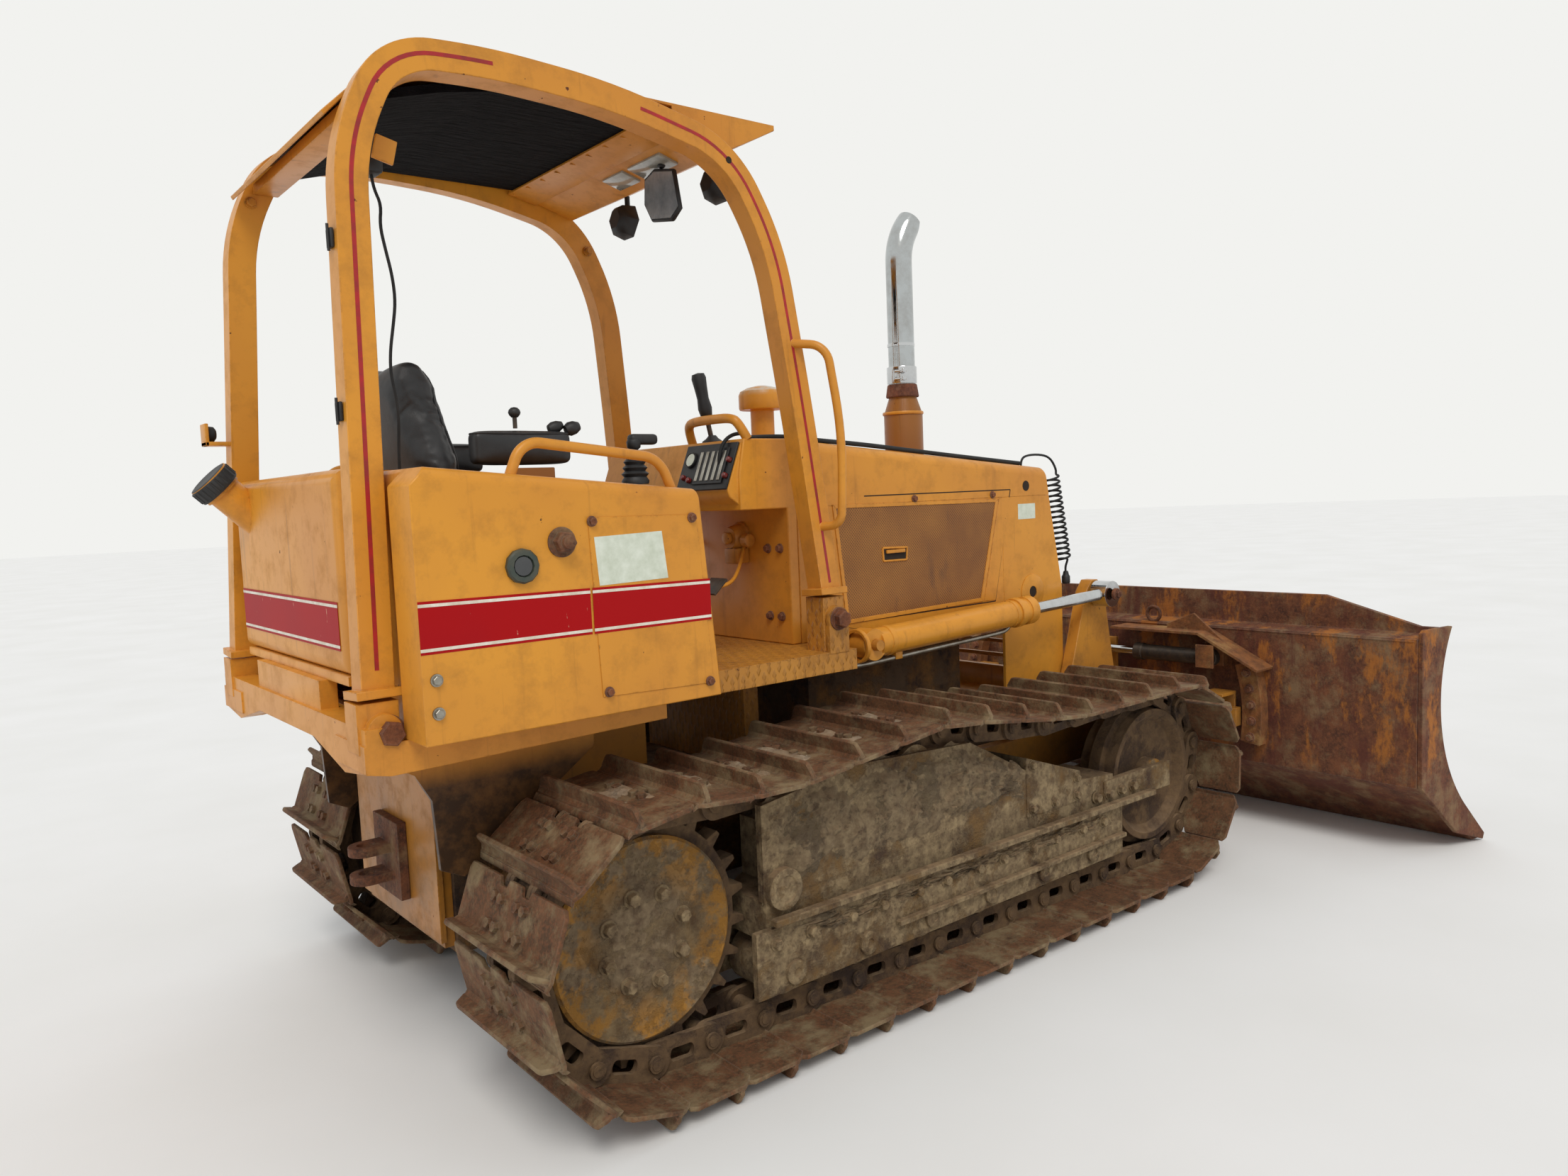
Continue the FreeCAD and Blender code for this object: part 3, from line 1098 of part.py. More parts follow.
retainer = blade_retainer("retainer_right")
retainer_left = mirrored("retainer_left", retainer)
tilt_ears = [box("tilt_ear_%d" % i, (along(3061 if i else 2969), along(3109.7 if i else 2981)),
                 (-S.tilt_eye_y - 40, -S.tilt_eye_y + 40), (700, 790 if i else 800)) for i in range(2)]
tilt_eye_pin = rod("tilt_eye_pin", "x", 18, (along(2975), -S.tilt_eye_y, S.tilt_cylinder_z), 90)
hood_plate = prism("hood_plate", "YZ", [(-832, 700), (-565, 840), (-130, 840), (-130, 852), (-568, 852), (-838, 711)],
                   along(2975), along(3109.7))
gusset = prism("gusset", "YZ", [(-690, 780), (-560, 845), (-380, 845), (-380, 872), (-510, 927)],
               along(3045), along(3057))
node("blade_guards", fuse("blade_guards", retainer, retainer_left, tilt_eye_pin, hood_plate, gusset, *tilt_ears))

# Cord from the lamp at the back of the roof, and the curly cable on the radiator guard.

CORD_RADIUS = 4
cord_line = [(-400, -340, 2339.7), (-398, -341, 2310), (-385, -352, 2270), (-400, -372, 2215), (-395, -385, 2155),
             (-380, -378, 2095), (-372, -366, 2035), (-380, -360, 1975), (-392, -362, 1915), (-398, -370, 1858),
             (-392, -378, 1805), (-388, -376, 1750), (-390, -372, 1700), (-392, -370, 1650), (-392, -368, fender_top_at(-392) + 0.7)]
cord = pipe([place(*spot) for spot in cord_line], CORD_RADIUS)
node("lamp_cord", shaped("lamp_cord", cord))

COIL_RADIUS, COIL_WIRE, COIL_PITCH, COIL_TURNS, CABLE_ROOT = 29, 4.5, 22, 16, 1596.6


def curly_cable(name):
    """Coiled lead that comes off the hood, hangs down the radiator guard's right front corner and ends at its plug."""
    top, low = place(2251, -353, 1572), place(2325, -353, 1208)
    line = Part.makeHelix(COIL_PITCH, COIL_PITCH * COIL_TURNS, COIL_RADIUS)
    climb = Vector(0, COIL_RADIUS, COIL_PITCH / (2 * math.pi))
    wire = Part.Wire(Part.makeCircle(COIL_WIRE, Vector(COIL_RADIUS, 0, 0), climb))
    coil = Part.Wire(line.Edges).makePipeShell([wire], True, True)
    turn = Rotation(Vector(0, 0, 1), top - low)
    settled = Placement(low, turn)
    coil.Placement = settled
    foot = settled.multVec(Vector(COIL_RADIUS, 0, 0))
    head = settled.multVec(Vector(COIL_RADIUS, 0, COIL_PITCH * COIL_TURNS))
    upper = pipe([head, head + Vector(4, 0, 22), place(2250, -351, 1630), place(2185, -346, 1642),
                  place(2105, -340, 1638), place(2085, -335, 1618), place(2085, -335, CABLE_ROOT)], COIL_WIRE)
    lower = pipe([foot, foot + Vector(-6, 0, -14), place(2336, -353, 1182), place(2337, -353, 1164.3)], COIL_WIRE)
    joints = [Part.makeSphere(COIL_WIRE, spot) for spot in (foot, head)]
    return shaped(name, coil.fuse([upper, lower] + joints))


node("curly_cable", curly_cable("curly_cable"))
node("cable_plug", turned("cable_plug", "z", (along(2337), -353, 1112),
                          [(0, 0), (15, 0), (17, 6), (17, 30), (13, 36), (9, 52), (0, 52)]))

doc.recompute()
broken = [thing.Label for thing in doc.Objects if {"Invalid", "Error"} & set(thing.State)]
broken += [thing.Label for thing in nodes if thing.Shape.isNull() or not thing.Shape.isValid()]
if broken:
    raise RuntimeError("failed: " + ", ".join(broken))
os.makedirs("parts", exist_ok=True)
for thing in nodes:
    thing.Shape.exportStep(os.path.join("parts", thing.Label + ".step"))
print("%d sub-parts written" % len(nodes))
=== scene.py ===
import math

import bmesh
import bpy
from mathutils import Matrix, Vector, noise
from mathutils.bvhtree import BVHTree


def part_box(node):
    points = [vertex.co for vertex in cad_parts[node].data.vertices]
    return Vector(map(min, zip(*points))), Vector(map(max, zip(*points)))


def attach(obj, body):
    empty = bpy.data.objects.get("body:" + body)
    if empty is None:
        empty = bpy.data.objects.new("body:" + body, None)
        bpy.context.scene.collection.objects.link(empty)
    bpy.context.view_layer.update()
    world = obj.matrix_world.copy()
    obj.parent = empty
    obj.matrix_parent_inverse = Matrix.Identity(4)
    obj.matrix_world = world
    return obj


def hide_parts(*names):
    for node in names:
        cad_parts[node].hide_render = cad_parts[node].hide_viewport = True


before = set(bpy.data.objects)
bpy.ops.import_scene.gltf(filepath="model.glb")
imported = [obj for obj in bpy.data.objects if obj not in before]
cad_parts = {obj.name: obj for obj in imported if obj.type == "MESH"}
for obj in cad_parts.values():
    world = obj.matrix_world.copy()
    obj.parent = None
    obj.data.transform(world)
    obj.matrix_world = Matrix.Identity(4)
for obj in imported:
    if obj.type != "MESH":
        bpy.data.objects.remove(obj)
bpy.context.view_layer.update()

bl_info = {
    "name": "Crawler bulldozer",
    "version": (1, 0, 0),
    "blender": (4, 5, 0),
    "location": "View3D > Sidebar > Bulldozer",
    "description": "Paint, rust, mud, cab fittings and cords of a crawler bulldozer",
    "category": "Object",
}

SIDES = ((-1, "right"), (1, "left"))


def middle_of(node):
    low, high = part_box(node)
    return (low + high) / 2


AXLE = middle_of("sprocket_right")


def at(x, y, z):
    """A point in the row frame: x ahead of the sprocket's axle, y to the left, z above the ground, in mm."""
    return Vector((AXLE.x + x / 1000, y / 1000, z / 1000))


# Finishes.


def linear(code):
    """A six-digit sRGB colour as linear red, green, blue and a full alpha."""
    parts = [int(code[i:i + 2], 16) / 255 for i in (1, 3, 5)]
    return [p / 12.92 if p <= 0.04045 else ((p + 0.055) / 1.055) ** 2.4 for p in parts] + [1.0]


def add(tree, kind, inputs=None, **settings):
    """Adds a node with its settings. An input is a socket to link, a written colour or a plain value."""
    node = tree.nodes.new(kind)
    for name, value in settings.items():
        setattr(node, name, value)
    for socket, value in (inputs or {}).items():
        if isinstance(value, bpy.types.NodeSocket):
            tree.links.new(value, node.inputs[socket])
        else:
            node.inputs[socket].default_value = linear(value) if isinstance(value, str) else value
    return node


def surface(name, roughness=0.5, metallic=0.0, **more):
    """A new material with its main shader's plain values; returns the material, its tree and the shader."""
    material = bpy.data.materials.new(name)
    material.use_nodes = True
    tree = material.node_tree
    shader = tree.nodes["Principled BSDF"]
    shader.inputs["Roughness"].default_value = roughness
    shader.inputs["Metallic"].default_value = metallic
    for socket, value in more.items():
        shader.inputs[socket.replace("_", " ")].default_value = value
    return material, tree, shader


def patches(tree, size, low, high, detail=5.0, rough=0.6, stretch=(1, 1, 1), seed=0.0):
    """A mask of patches of about this size in mm: off where the cloud is below low, on above high."""
    spot = add(tree, "ShaderNodeTexCoord").outputs["Object"]
    spread = add(tree, "ShaderNodeMapping",
                 {"Vector": spot, "Scale": stretch, "Location": (seed, seed * 0.7, seed * 1.3)})
    cloud = add(tree, "ShaderNodeTexNoise", {"Vector": spread.outputs["Vector"], "Scale": 1000 / size,
                                             "Detail": detail, "Roughness": rough})
    return add(tree, "ShaderNodeMapRange",
               {"Value": cloud.outputs["Fac"], "From Min": low, "From Max": high}).outputs["Result"]


def worn_edges(tree, reach):
    """A mask of the outside edges, within reach mm of them."""
    rounded = add(tree, "ShaderNodeBevel", {"Radius": reach / 1000}, samples=4)
    flat = add(tree, "ShaderNodeNewGeometry")
    along = add(tree, "ShaderNodeVectorMath", {0: rounded.outputs["Normal"], 1: flat.outputs["Normal"]},
                operation="DOT_PRODUCT")
    # The rounded normal leans 14 degrees off the face where wear begins, and 37 where it is full.
    return add(tree, "ShaderNodeMapRange",
               {"Value": along.outputs["Value"], "From Min": 0.97, "From Max": 0.80}).outputs["Result"]


def facing_up(tree, low=0.3, high=0.9):
    """A mask of what faces the sky: off where the normal rises less than low, on where more than high."""
    flat = add(tree, "ShaderNodeNewGeometry")
    parts = add(tree, "ShaderNodeSeparateXYZ", {"Vector": flat.outputs["Normal"]})
    return add(tree, "ShaderNodeMapRange",
               {"Value": parts.outputs["Z"], "From Min": low, "From Max": high}).outputs["Result"]


def height_mask(tree, full, none):
    """A mask by height in mm above the ground: on from full and beyond, off from none and beyond."""
    spot = add(tree, "ShaderNodeTexCoord").outputs["Object"]
    parts = add(tree, "ShaderNodeSeparateXYZ", {"Vector": spot})
    return add(tree, "ShaderNodeMapRange", {"Value": parts.outputs["Z"], "From Min": none / 1000,
                                            "From Max": full / 1000}).outputs["Result"]


def overlap(tree, *masks):
    """Where all of these masks are on: their product. Each is a socket or a plain share."""
    whole = masks[0]
    for mask in masks[1:]:
        product = add(tree, "ShaderNodeMath", {0: whole, 1: mask}, operation="MULTIPLY", use_clamp=True)
        whole = product.outputs[0]
    return whole


def either(tree, first, second):
    """Where one mask or the other is on: the greater of the two."""
    return add(tree, "ShaderNodeMath", {0: first, 1: second}, operation="MAXIMUM", use_clamp=True).outputs[0]


def coats(tree, under, *layers):
    """A colour with others laid over it in turn, each where its mask is on."""
    for mask, over in layers:
        under = add(tree, "ShaderNodeMix", {0: mask, 6: under, 7: over}, data_type="RGBA").outputs[2]
    return under


def cover(tree, shader, under, *layers):
    """Gives a finish its colour, with others laid over it in turn, each where its mask is on."""
    tree.links.new(coats(tree, under, *layers), shader.inputs["Base Color"])


def lay_over(material, *layers):
    """Lays more colours over a finish that is already made, each where its mask is on."""
    shader = material.node_tree.nodes["Principled BSDF"]
    cover(material.node_tree, shader, shader.inputs["Base Color"].links[0].from_socket, *layers)
    return material


def roughen(tree, shader, mask, off, on):
    """Makes the roughness go from off to on with a mask."""
    dull = add(tree, "ShaderNodeMapRange", {"Value": mask, "To Min": off, "To Max": on})
    tree.links.new(dull.outputs["Result"], shader.inputs["Roughness"])


def bumps(tree, shader, strength, distance, *heights):
    """Bump of distance mm from heights laid on each other, up to 1."""
    whole = heights[0]
    for height in heights[1:]:
        heap = add(tree, "ShaderNodeMath", {0: whole, 1: height}, operation="ADD", use_clamp=True)
        whole = heap.outputs[0]
    bump = add(tree, "ShaderNodeBump", {"Height": whole, "Strength": strength, "Distance": distance / 1000})
    tree.links.new(bump.outputs["Normal"], shader.inputs["Normal"])


def yellow_enamel(name, clean, faded, dirt, chips):
    """Sprayed alkyd enamel on steel: half glossy, sun-faded in clouds, with streaks and chips to rust."""
    material, tree, shader = surface(name, 0.42, Coat_Weight=0.05, Coat_Roughness=0.3, Specular_IOR_Level=0.3)
    clouds = patches(tree, 700, 0.35, 0.65, 3, 0.5)
    film = overlap(tree, patches(tree, 90, 0.48, 0.75, 8, 0.7, seed=3.0), dirt)
    streaks = overlap(tree, patches(tree, 34, 0.60, 0.78, 4, 0.6, (1, 1, 0.05), 9.0), dirt)
    splashed = patches(tree, 160, 0.34, 0.60, 7, 0.7, seed=5.0)
    low = overlap(tree, height_mask(tree, 300, 950), splashed, 0.75)
    edge = overlap(tree, worn_edges(tree, 7), patches(tree, 26, 0.50, 0.62, 4, 0.7, seed=11.0), chips * 1.4)
    spots = patches(tree, 30, 0.735 - 0.03 * chips, 0.76 - 0.03 * chips, 5, 0.55, seed=21.0)
    bare = either(tree, edge, spots)
    rust = coats(tree, "#3A2015", (patches(tree, 12, 0.4, 0.6, 3), "#6B3A20"))
    cover(tree, shader, clean, (clouds, faded), (film, "#8C5C26"), (streaks, "#7A4C22"), (low, "#6E5233"),
          (bare, rust))
    roughen(tree, shader, either(tree, film, bare), 0.36, 0.8)
    coat = add(tree, "ShaderNodeMath", {0: patches(tree, 160, 0.2, 0.8, 3, 0.5, seed=2.0), 1: bare},
               operation="SUBTRACT", use_clamp=True)
    bumps(tree, shader, 0.35, 1.2, coat.outputs[0])
    return material


def beam_finish(clean, faded, dirt, chips):
    """The yellow of the beams, turning to dark oily rust low down on the plates at the final drive, made
    darker there with painted shade.
    """
    material = yellow_enamel("yellow enamel, rust and painted shade low down", clean, faded, dirt, chips)
    tree = material.node_tree
    # Painted shade: below 830 mm the plates are painted dark brown, partly for rust and partly for the shade
    # that falls at the final drive.
    rust_and_painted_shade = coats(tree, "#3C2A1C", (patches(tree, 70, 0.4, 0.65, 6, 0.7, seed=14.0), "#6B4A2A"))
    return lay_over(material, (height_mask(tree, 830, 900), rust_and_painted_shade))


def bleached_cap(clean, faded, dirt, chips):
    """The yellow of the enamel, bleached nearly white in patches where it faces the sky."""
    material = yellow_enamel("yellow enamel, bleached on top", clean, faded, dirt, chips)
    tree = material.node_tree
    pale = overlap(tree, facing_up(tree, 0.15, 0.6), patches(tree, 60, 0.35, 0.55, 5, 0.6, seed=27.0))
    return lay_over(material, (pale, "#CFC3AE"))


# The tread plate's bars lie in cells this wide and long, in metres.
TREAD_CELL = (0.027, 0.054)


def tread_plate():
    """Rolled chequer plate, painted yellow and worn: raised bars 23 mm long in 27 by 54 mm cells."""
    material = yellow_enamel("tread plate, painted", "#C58834", "#A8702C", 0.75, 0.9)
    tree = material.node_tree
    spot = add(tree, "ShaderNodeTexCoord").outputs["Object"]
    place = add(tree, "ShaderNodeSeparateXYZ", {"Vector": spot})
    flat = facing_up(tree, 0.45, 0.55)
    steep = add(tree, "ShaderNodeMath", {0: 1.0, 1: flat}, operation="SUBTRACT").outputs[0]
    # A flat face is ruled along X and Y, an upright one along its level and Z.
    shares = [add(tree, "ShaderNodeMath", {0: place.outputs[axis], 1: share}, operation="MULTIPLY").outputs[0]
              for axis, share in (("Y", steep), ("Y", flat), ("Z", steep))]
    level = add(tree, "ShaderNodeMath", {0: place.outputs["X"], 1: shares[0]}, operation="ADD").outputs[0]
    rising = add(tree, "ShaderNodeMath", {0: shares[1], 1: shares[2]}, operation="ADD").outputs[0]
    sheet = add(tree, "ShaderNodeCombineXYZ", {"X": level, "Y": rising}).outputs["Vector"]
    bars = []
    for turn, middle in ((45, 0.25), (-45, 0.75)):
        laid = add(tree, "ShaderNodeMapping",
                   {"Vector": sheet, "Rotation": (0, 0, math.radians(turn)),
                    "Scale": (1 / TREAD_CELL[0], 1 / TREAD_CELL[1], 0)})
        cells = add(tree, "ShaderNodeVectorMath", {0: laid.outputs["Vector"]}, operation="FRACTION")
        parts = add(tree, "ShaderNodeSeparateXYZ", {"Vector": cells.outputs["Vector"]})
        sides = []
        for axis, centre, inner in (("X", 0.5, 0.12), ("Y", middle, 0.18)):
            off = add(tree, "ShaderNodeMath", {0: parts.outputs[axis], 1: centre}, operation="SUBTRACT")
            far = add(tree, "ShaderNodeMath", {0: off.outputs[0]}, operation="ABSOLUTE")
            ramp = add(tree, "ShaderNodeMapRange",
                       {"Value": far.outputs[0], "From Min": 0.24, "From Max": inner})
            sides.append(ramp.outputs["Result"])
        bars.append(overlap(tree, *sides))
    raised = either(tree, *bars)
    bumps(tree, tree.nodes["Principled BSDF"], 0.8, 2.5, raised)
    return lay_over(material, (overlap(tree, raised, 0.25), "#6B4524"))


def rusty_steel(name, dark, light, dirt, amount, shine):
    """Hot-rolled steel left bare: dark and brown rust in patches, dry earth on it, edges rubbed bright."""
    material, tree, shader = surface(name, 0.75, 0.15)
    brown = patches(tree, 60, 0.36, 0.66, 8, 0.7)
    red = overlap(tree, patches(tree, 9, 0.45, 0.7, 4), 0.5)
    cloud = patches(tree, 130, 0.60 - 0.28 * amount, 0.72 - 0.20 * amount, 8, 0.72, seed=4.0)
    earth = overlap(tree, cloud, 0.9)
    rubbed = overlap(tree, worn_edges(tree, 5), shine)
    cover(tree, shader, dark, (brown, light), (red, "#8E5636"), (earth, dirt), (rubbed, "#9A8C80"))
    roughen(tree, shader, rubbed, 0.82, 0.4)
    bumps(tree, shader, 0.6, 3, patches(tree, 14, 0.3, 0.75, 6, 0.7), overlap(tree, earth, 0.6))
    return material


def blade_steel():
    """Rusty plate with red-brown runs and orange remains of enamel, browner and muddier toward the edge."""
    material = rusty_steel("blade steel, rusty over old enamel", "#48291B", "#7A4A2D", "#85694A", 0.4, 0.5)
    tree = material.node_tree
    runs = overlap(tree, patches(tree, 110, 0.50, 0.60, 6, 0.7, (1, 1, 0.22), 17.0), 0.7)
    remains = patches(tree, 150, 0.52, 0.60, 8, 0.75, (1, 1, 0.4), 23.0)
    enamel = overlap(tree, remains, height_mask(tree, 420, 250), 0.85)
    return lay_over(material, (runs, "#5A2A1E"), (enamel, "#AC6A28"))


def muddy_casting(name, under, mud, rust, wet, lumps):
    """Cast steel once painted, caked in dried mud: lumpy, matt, light brown, with rust and paint between."""
    material, tree, shader = surface(name, 0.92)
    rusty = patches(tree, 120, 0.42, 0.62, 6, 0.65, seed=6.0)
    cake = patches(tree, 170, 0.56 - 0.22 * wet, 0.66 - 0.2 * wet, 8, 0.7, seed=1.0)
    soil = coats(tree, "#4E3A27", (patches(tree, 30, 0.3, 0.7, 6, 0.7, seed=8.0), mud))
    dust = overlap(tree, facing_up(tree), patches(tree, 60, 0.3, 0.6, 5, 0.6, seed=12.0), 0.75)
    cover(tree, shader, under, (rusty, rust), (cake, soil), (dust, "#94795A"))
    bumps(tree, shader, 0.9, lumps, overlap(tree, cake, 0.6), patches(tree, 22, 0.2, 0.8, 7, 0.7))
    return material


def sprocket_finish():
    """Dried mud over the middle of the disc, with old yellow enamel left in arcs toward its rim."""
    material = muddy_casting("sprocket disc, yellow under mud", "#8A7350", "#857256", "#5A4329", 0.6, 9)
    tree = material.node_tree
    spot = add(tree, "ShaderNodeTexCoord").outputs["Object"]
    from_axle = add(tree, "ShaderNodeMapping",
                    {"Vector": spot, "Location": -at(0, 0, SPROCKET_Z), "Scale": (1, 0, 1)})
    reach = add(tree, "ShaderNodeVectorMath", {0: from_axle.outputs["Vector"]}, operation="LENGTH")
    # The mud ends between 120 and 230 mm from the axle.
    outer = add(tree, "ShaderNodeMapRange",
                {"Value": reach.outputs["Value"], "From Min": 0.12, "From Max": 0.23}).outputs["Result"]
    bare = overlap(tree, outer, patches(tree, 90, 0.46, 0.56, 6, 0.7, seed=31.0), 0.85)
    return lay_over(material, (bare, "#A06E22"))


def chromed_steel(name="hard chrome plate", tint="#C9CBCC", smear=0.25):
    """Ground and chromed steel: mirror bright, with a faint film of oil and dust."""
    material, tree, shader = surface(name, 0.12, 1.0)
    film = overlap(tree, patches(tree, 60, 0.4, 0.7, 6, 0.7), smear)
    cover(tree, shader, tint, (film, "#8F8A84"))
    roughen(tree, shader, film, 0.08, 0.45)
    return material


def black_plastic(name="black moulded plastic", colour="#17181A", faded="#2B2B2B", roughness=0.55):
    """Injection-moulded black plastic or rubber, greyed by sun and dust."""
    material, tree, shader = surface(name, roughness)
    cover(tree, shader, colour, (patches(tree, 60, 0.4, 0.75, 5, 0.6), faded))
    bumps(tree, shader, 0.25, 0.3, patches(tree, 2.5, 0.3, 0.7, 2))
    return material


# Grains in a metre of seat vinyl: 3.8 mm each, drawn coarser than the real 1 mm so that they show.
VINYL_GRAINS = 260.0


def seat_vinyl():
    """Embossed vinyl over foam: black, slightly glossy, with a leather grain and dusty creases."""
    material, tree, shader = surface("grained seat vinyl", 0.45)
    spot = add(tree, "ShaderNodeTexCoord").outputs["Object"]
    grain = add(tree, "ShaderNodeTexVoronoi", {"Vector": spot, "Scale": VINYL_GRAINS})
    dusty = patches(tree, 90, 0.45, 0.7, 7, 0.7, seed=2.0)
    dust = overlap(tree, facing_up(tree, 0.2, 1.0), dusty, 0.35)
    cover(tree, shader, "#1B1C1E", (patches(tree, 120, 0.4, 0.7, 6, 0.65), "#2F3032"), (dust, "#6A6259"))
    bumps(tree, shader, 0.3, 0.8, grain.outputs["Distance"], patches(tree, 40, 0.3, 0.7, 4))
    return material


def plain_finish(name, colour, second, roughness=0.5, metallic=0.0, size=40, **more):
    """A small part's finish: two near colours in soft patches."""
    material, tree, shader = surface(name, roughness, metallic, **more)
    cover(tree, shader, colour, (patches(tree, size, 0.35, 0.7, 5, 0.65), second))
    return material


def crumpled_lining():
    """Thin black foam sheet glued under the roof, wrinkled across like crushed paper, its colour darkened
    below the foam's own as painted shade.
    """
    material, tree, shader = surface("crumpled sound lining", 0.95, Specular_IOR_Level=0.15)
    # Painted shade: near black, darker than black foam, for the shade under the roof.
    cover(tree, shader, "#050406", (patches(tree, 60, 0.35, 0.7, 6, 0.6), "#110F11"))
    bumps(tree, shader, 1.0, 22, patches(tree, 40, 0.2, 0.8, 5, 0.65, (0.35, 1.5, 1), 3.0))
    return material


def banded_tape():
    """Printed vinyl tape: a deep dull red, scuffed pale in short scratches."""
    material, tree, shader = surface("red tape with white pinlines", 0.5, Specular_IOR_Level=0.15)
    uneven = overlap(tree, patches(tree, 500, 0.4, 0.7, 3), 0.35)
    scuff = patches(tree, 14, 0.70, 0.76, 5, 0.6, (1, 1, 0.3), 7.0)
    cover(tree, shader, "#A8060C", (uneven, "#8E1020"), (scuff, "#D8B79A"))
    return material


# Metres from hole to hole of the punched sheet: real ones are 9 mm apart, drawn coarser so that they show.
HOLE_STEP = 0.011


def perforated_sheet():
    """Painted sheet punched with rows of 5 mm holes, which makes it look darker and duller than the rest."""
    material, tree, shader = surface("punched sheet, painted", 0.6)
    spot = add(tree, "ShaderNodeTexCoord").outputs["Object"]
    parts = add(tree, "ShaderNodeSeparateXYZ", {"Vector": spot})
    waves = []
    for axis in ("X", "Z"):
        turn = add(tree, "ShaderNodeMath", {0: parts.outputs[axis], 1: 2 * math.pi / HOLE_STEP},
                   operation="MULTIPLY")
        waves.append(add(tree, "ShaderNodeMath", {0: turn.outputs[0]}, operation="SINE").outputs[0])
    crossed = add(tree, "ShaderNodeMath", {0: waves[0], 1: waves[1]}, operation="MULTIPLY")
    holes = add(tree, "ShaderNodeMapRange",
                {"Value": crossed.outputs[0], "From Min": 0.15, "From Max": 0.4}).outputs["Result"]
    clouds = patches(tree, 260, 0.35, 0.65, 5, 0.6)
    spill = overlap(tree, patches(tree, 110, 0.60, 0.70, 6, 0.6, (1, 1, 0.35), 14.0), 0.6)
    cover(tree, shader, "#A46C2A", (clouds, "#885420"), (spill, "#5E3A24"),
          (overlap(tree, holes, 0.75), "#33210F"))
    bumps(tree, shader, -0.5, 2, holes)
    return material


# Making pieces.


def shown(name, data, finish, body):
    """The object of a mesh or curve that is already in place, in its finish, riding on its body."""
    data.materials.append(paint(finish))
    thing = bpy.data.objects.new(name, data)
    bpy.context.scene.collection.objects.link(thing)
    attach(thing, body)
    return thing


def piece(name, form, finish, body="chassis", replaced=(), sharp=35):
    """The object of a finished bmesh, smooth where its faces meet under the sharp angle in degrees."""
    bmesh.ops.recalc_face_normals(form, faces=form.faces)
    mesh = bpy.data.meshes.new(name)
    form.to_mesh(mesh)
    form.free()
    mesh.shade_smooth()
    mesh.set_sharp_from_angle(angle=math.radians(sharp))
    thing = shown(name, mesh, finish, body)
    if replaced:
        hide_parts(*replaced)
    return thing


def dressed(node, finish, edge, body):
    """A rigid node's own shape, merged and with its sharp edges rounded by edge mm."""
    form = bmesh.new()
    form.from_mesh(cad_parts[node].data)
    bmesh.ops.remove_doubles(form, verts=form.verts, dist=0.00005)
    bmesh.ops.dissolve_limit(form, angle_limit=math.radians(0.6), verts=form.verts, edges=form.edges)
    thing = piece(node + ".finished", form, finish, body, (node,), 30)
    if edge:
        soft = thing.modifiers.new("rounding", "BEVEL")
        soft.width = edge / 1000
        soft.segments = 2
        soft.limit_method = "ANGLE"
        soft.angle_limit = math.radians(40)
        soft.use_clamp_overlap = True
        soft.harden_normals = False
    return thing


def soften(form, offset, edges, segments=2):
    """Rounds edges of a bmesh by an offset in its own units."""
    bmesh.ops.bevel(form, geom=list(edges), offset=offset, offset_type="OFFSET", segments=segments,
                    profile=0.5, affect="EDGES", clamp_overlap=True, material=-1)


def join(form, part):
    """Adds one bmesh to another and frees it."""
    mesh = bpy.data.meshes.new("part")
    part.to_mesh(mesh)
    part.free()
    form.from_mesh(mesh)
    bpy.data.meshes.remove(mesh)


def in_pairs(items):
    """Each item with the next, and the last with the first."""
    return list(zip(items, items[1:] + items[:1]))


def pushed(corners, push, offset, least):
    """A plate from its outline's corners, pushed out, with the edges sharper than least radians softened."""
    part = bmesh.new()
    face = part.faces.new([part.verts.new(corner) for corner in corners])
    grown = bmesh.ops.extrude_face_region(part, geom=[face])["geom"]
    bmesh.ops.translate(part, vec=push, verts=[v for v in grown if isinstance(v, bmesh.types.BMVert)])
    bmesh.ops.recalc_face_normals(part, faces=part.faces)
    if offset:
        soften(part, offset, [e for e in part.edges if e.calc_face_angle(0) > least], 1)
    return part


def plate(form, corners, push, edge=1.5):
    """A flat plate: its outline's corners in mm from the axle, pushed out by (x, y, z) mm."""
    join(form, pushed([at(*corner) for corner in corners], Vector(push) / 1000, edge / 1000, 0.5))


def side_plate(form, side, y, corners, thick, edge=1.0):
    """A flat plate on a side of the machine: its corners as (x, z), standing thick mm out from y."""
    plate(form, [(x, side * y, z) for x, z in corners], (0, side * thick, 0), edge)


def tilted(degrees):
    """A turn about the Y axis."""
    return Matrix.Rotation(math.radians(degrees), 3, "Y")


def block(form, low, high, edge=2.0, turn=None, about=None, segments=2):
    """A box between two corners in mm from the axle, with softened edges, turned about a point if asked."""
    part = bmesh.new()
    bmesh.ops.create_cube(part, size=1)
    low, high = at(*low), at(*high)
    bmesh.ops.scale(part, vec=high - low, verts=part.verts)
    bmesh.ops.translate(part, vec=(low + high) / 2, verts=part.verts)
    soften(part, edge / 1000, part.edges, segments)
    if turn is not None:
        middle = at(*about) if about else (low + high) / 2
        bmesh.ops.rotate(part, cent=middle, matrix=turn, verts=part.verts)
    join(form, part)


def rod(form, start, end, radius, sides=24, edge=0.0):
    """A round bar from one point to another, in mm, with its rims chamfered by edge mm."""
    start, end = at(*start), at(*end)
    way = end - start
    part = bmesh.new()
    bmesh.ops.create_cone(part, cap_ends=True, segments=sides, radius1=radius / 1000, radius2=radius / 1000,
                          depth=way.length)
    if edge:
        soften(part, edge / 1000, [e for e in part.edges if abs(e.verts[0].co.z - e.verts[1].co.z) < 1e-9])
    bmesh.ops.rotate(part, matrix=way.to_track_quat("Z", "Y").to_matrix(), verts=part.verts)
    bmesh.ops.translate(part, vec=(start + end) / 2, verts=part.verts)
    join(form, part)


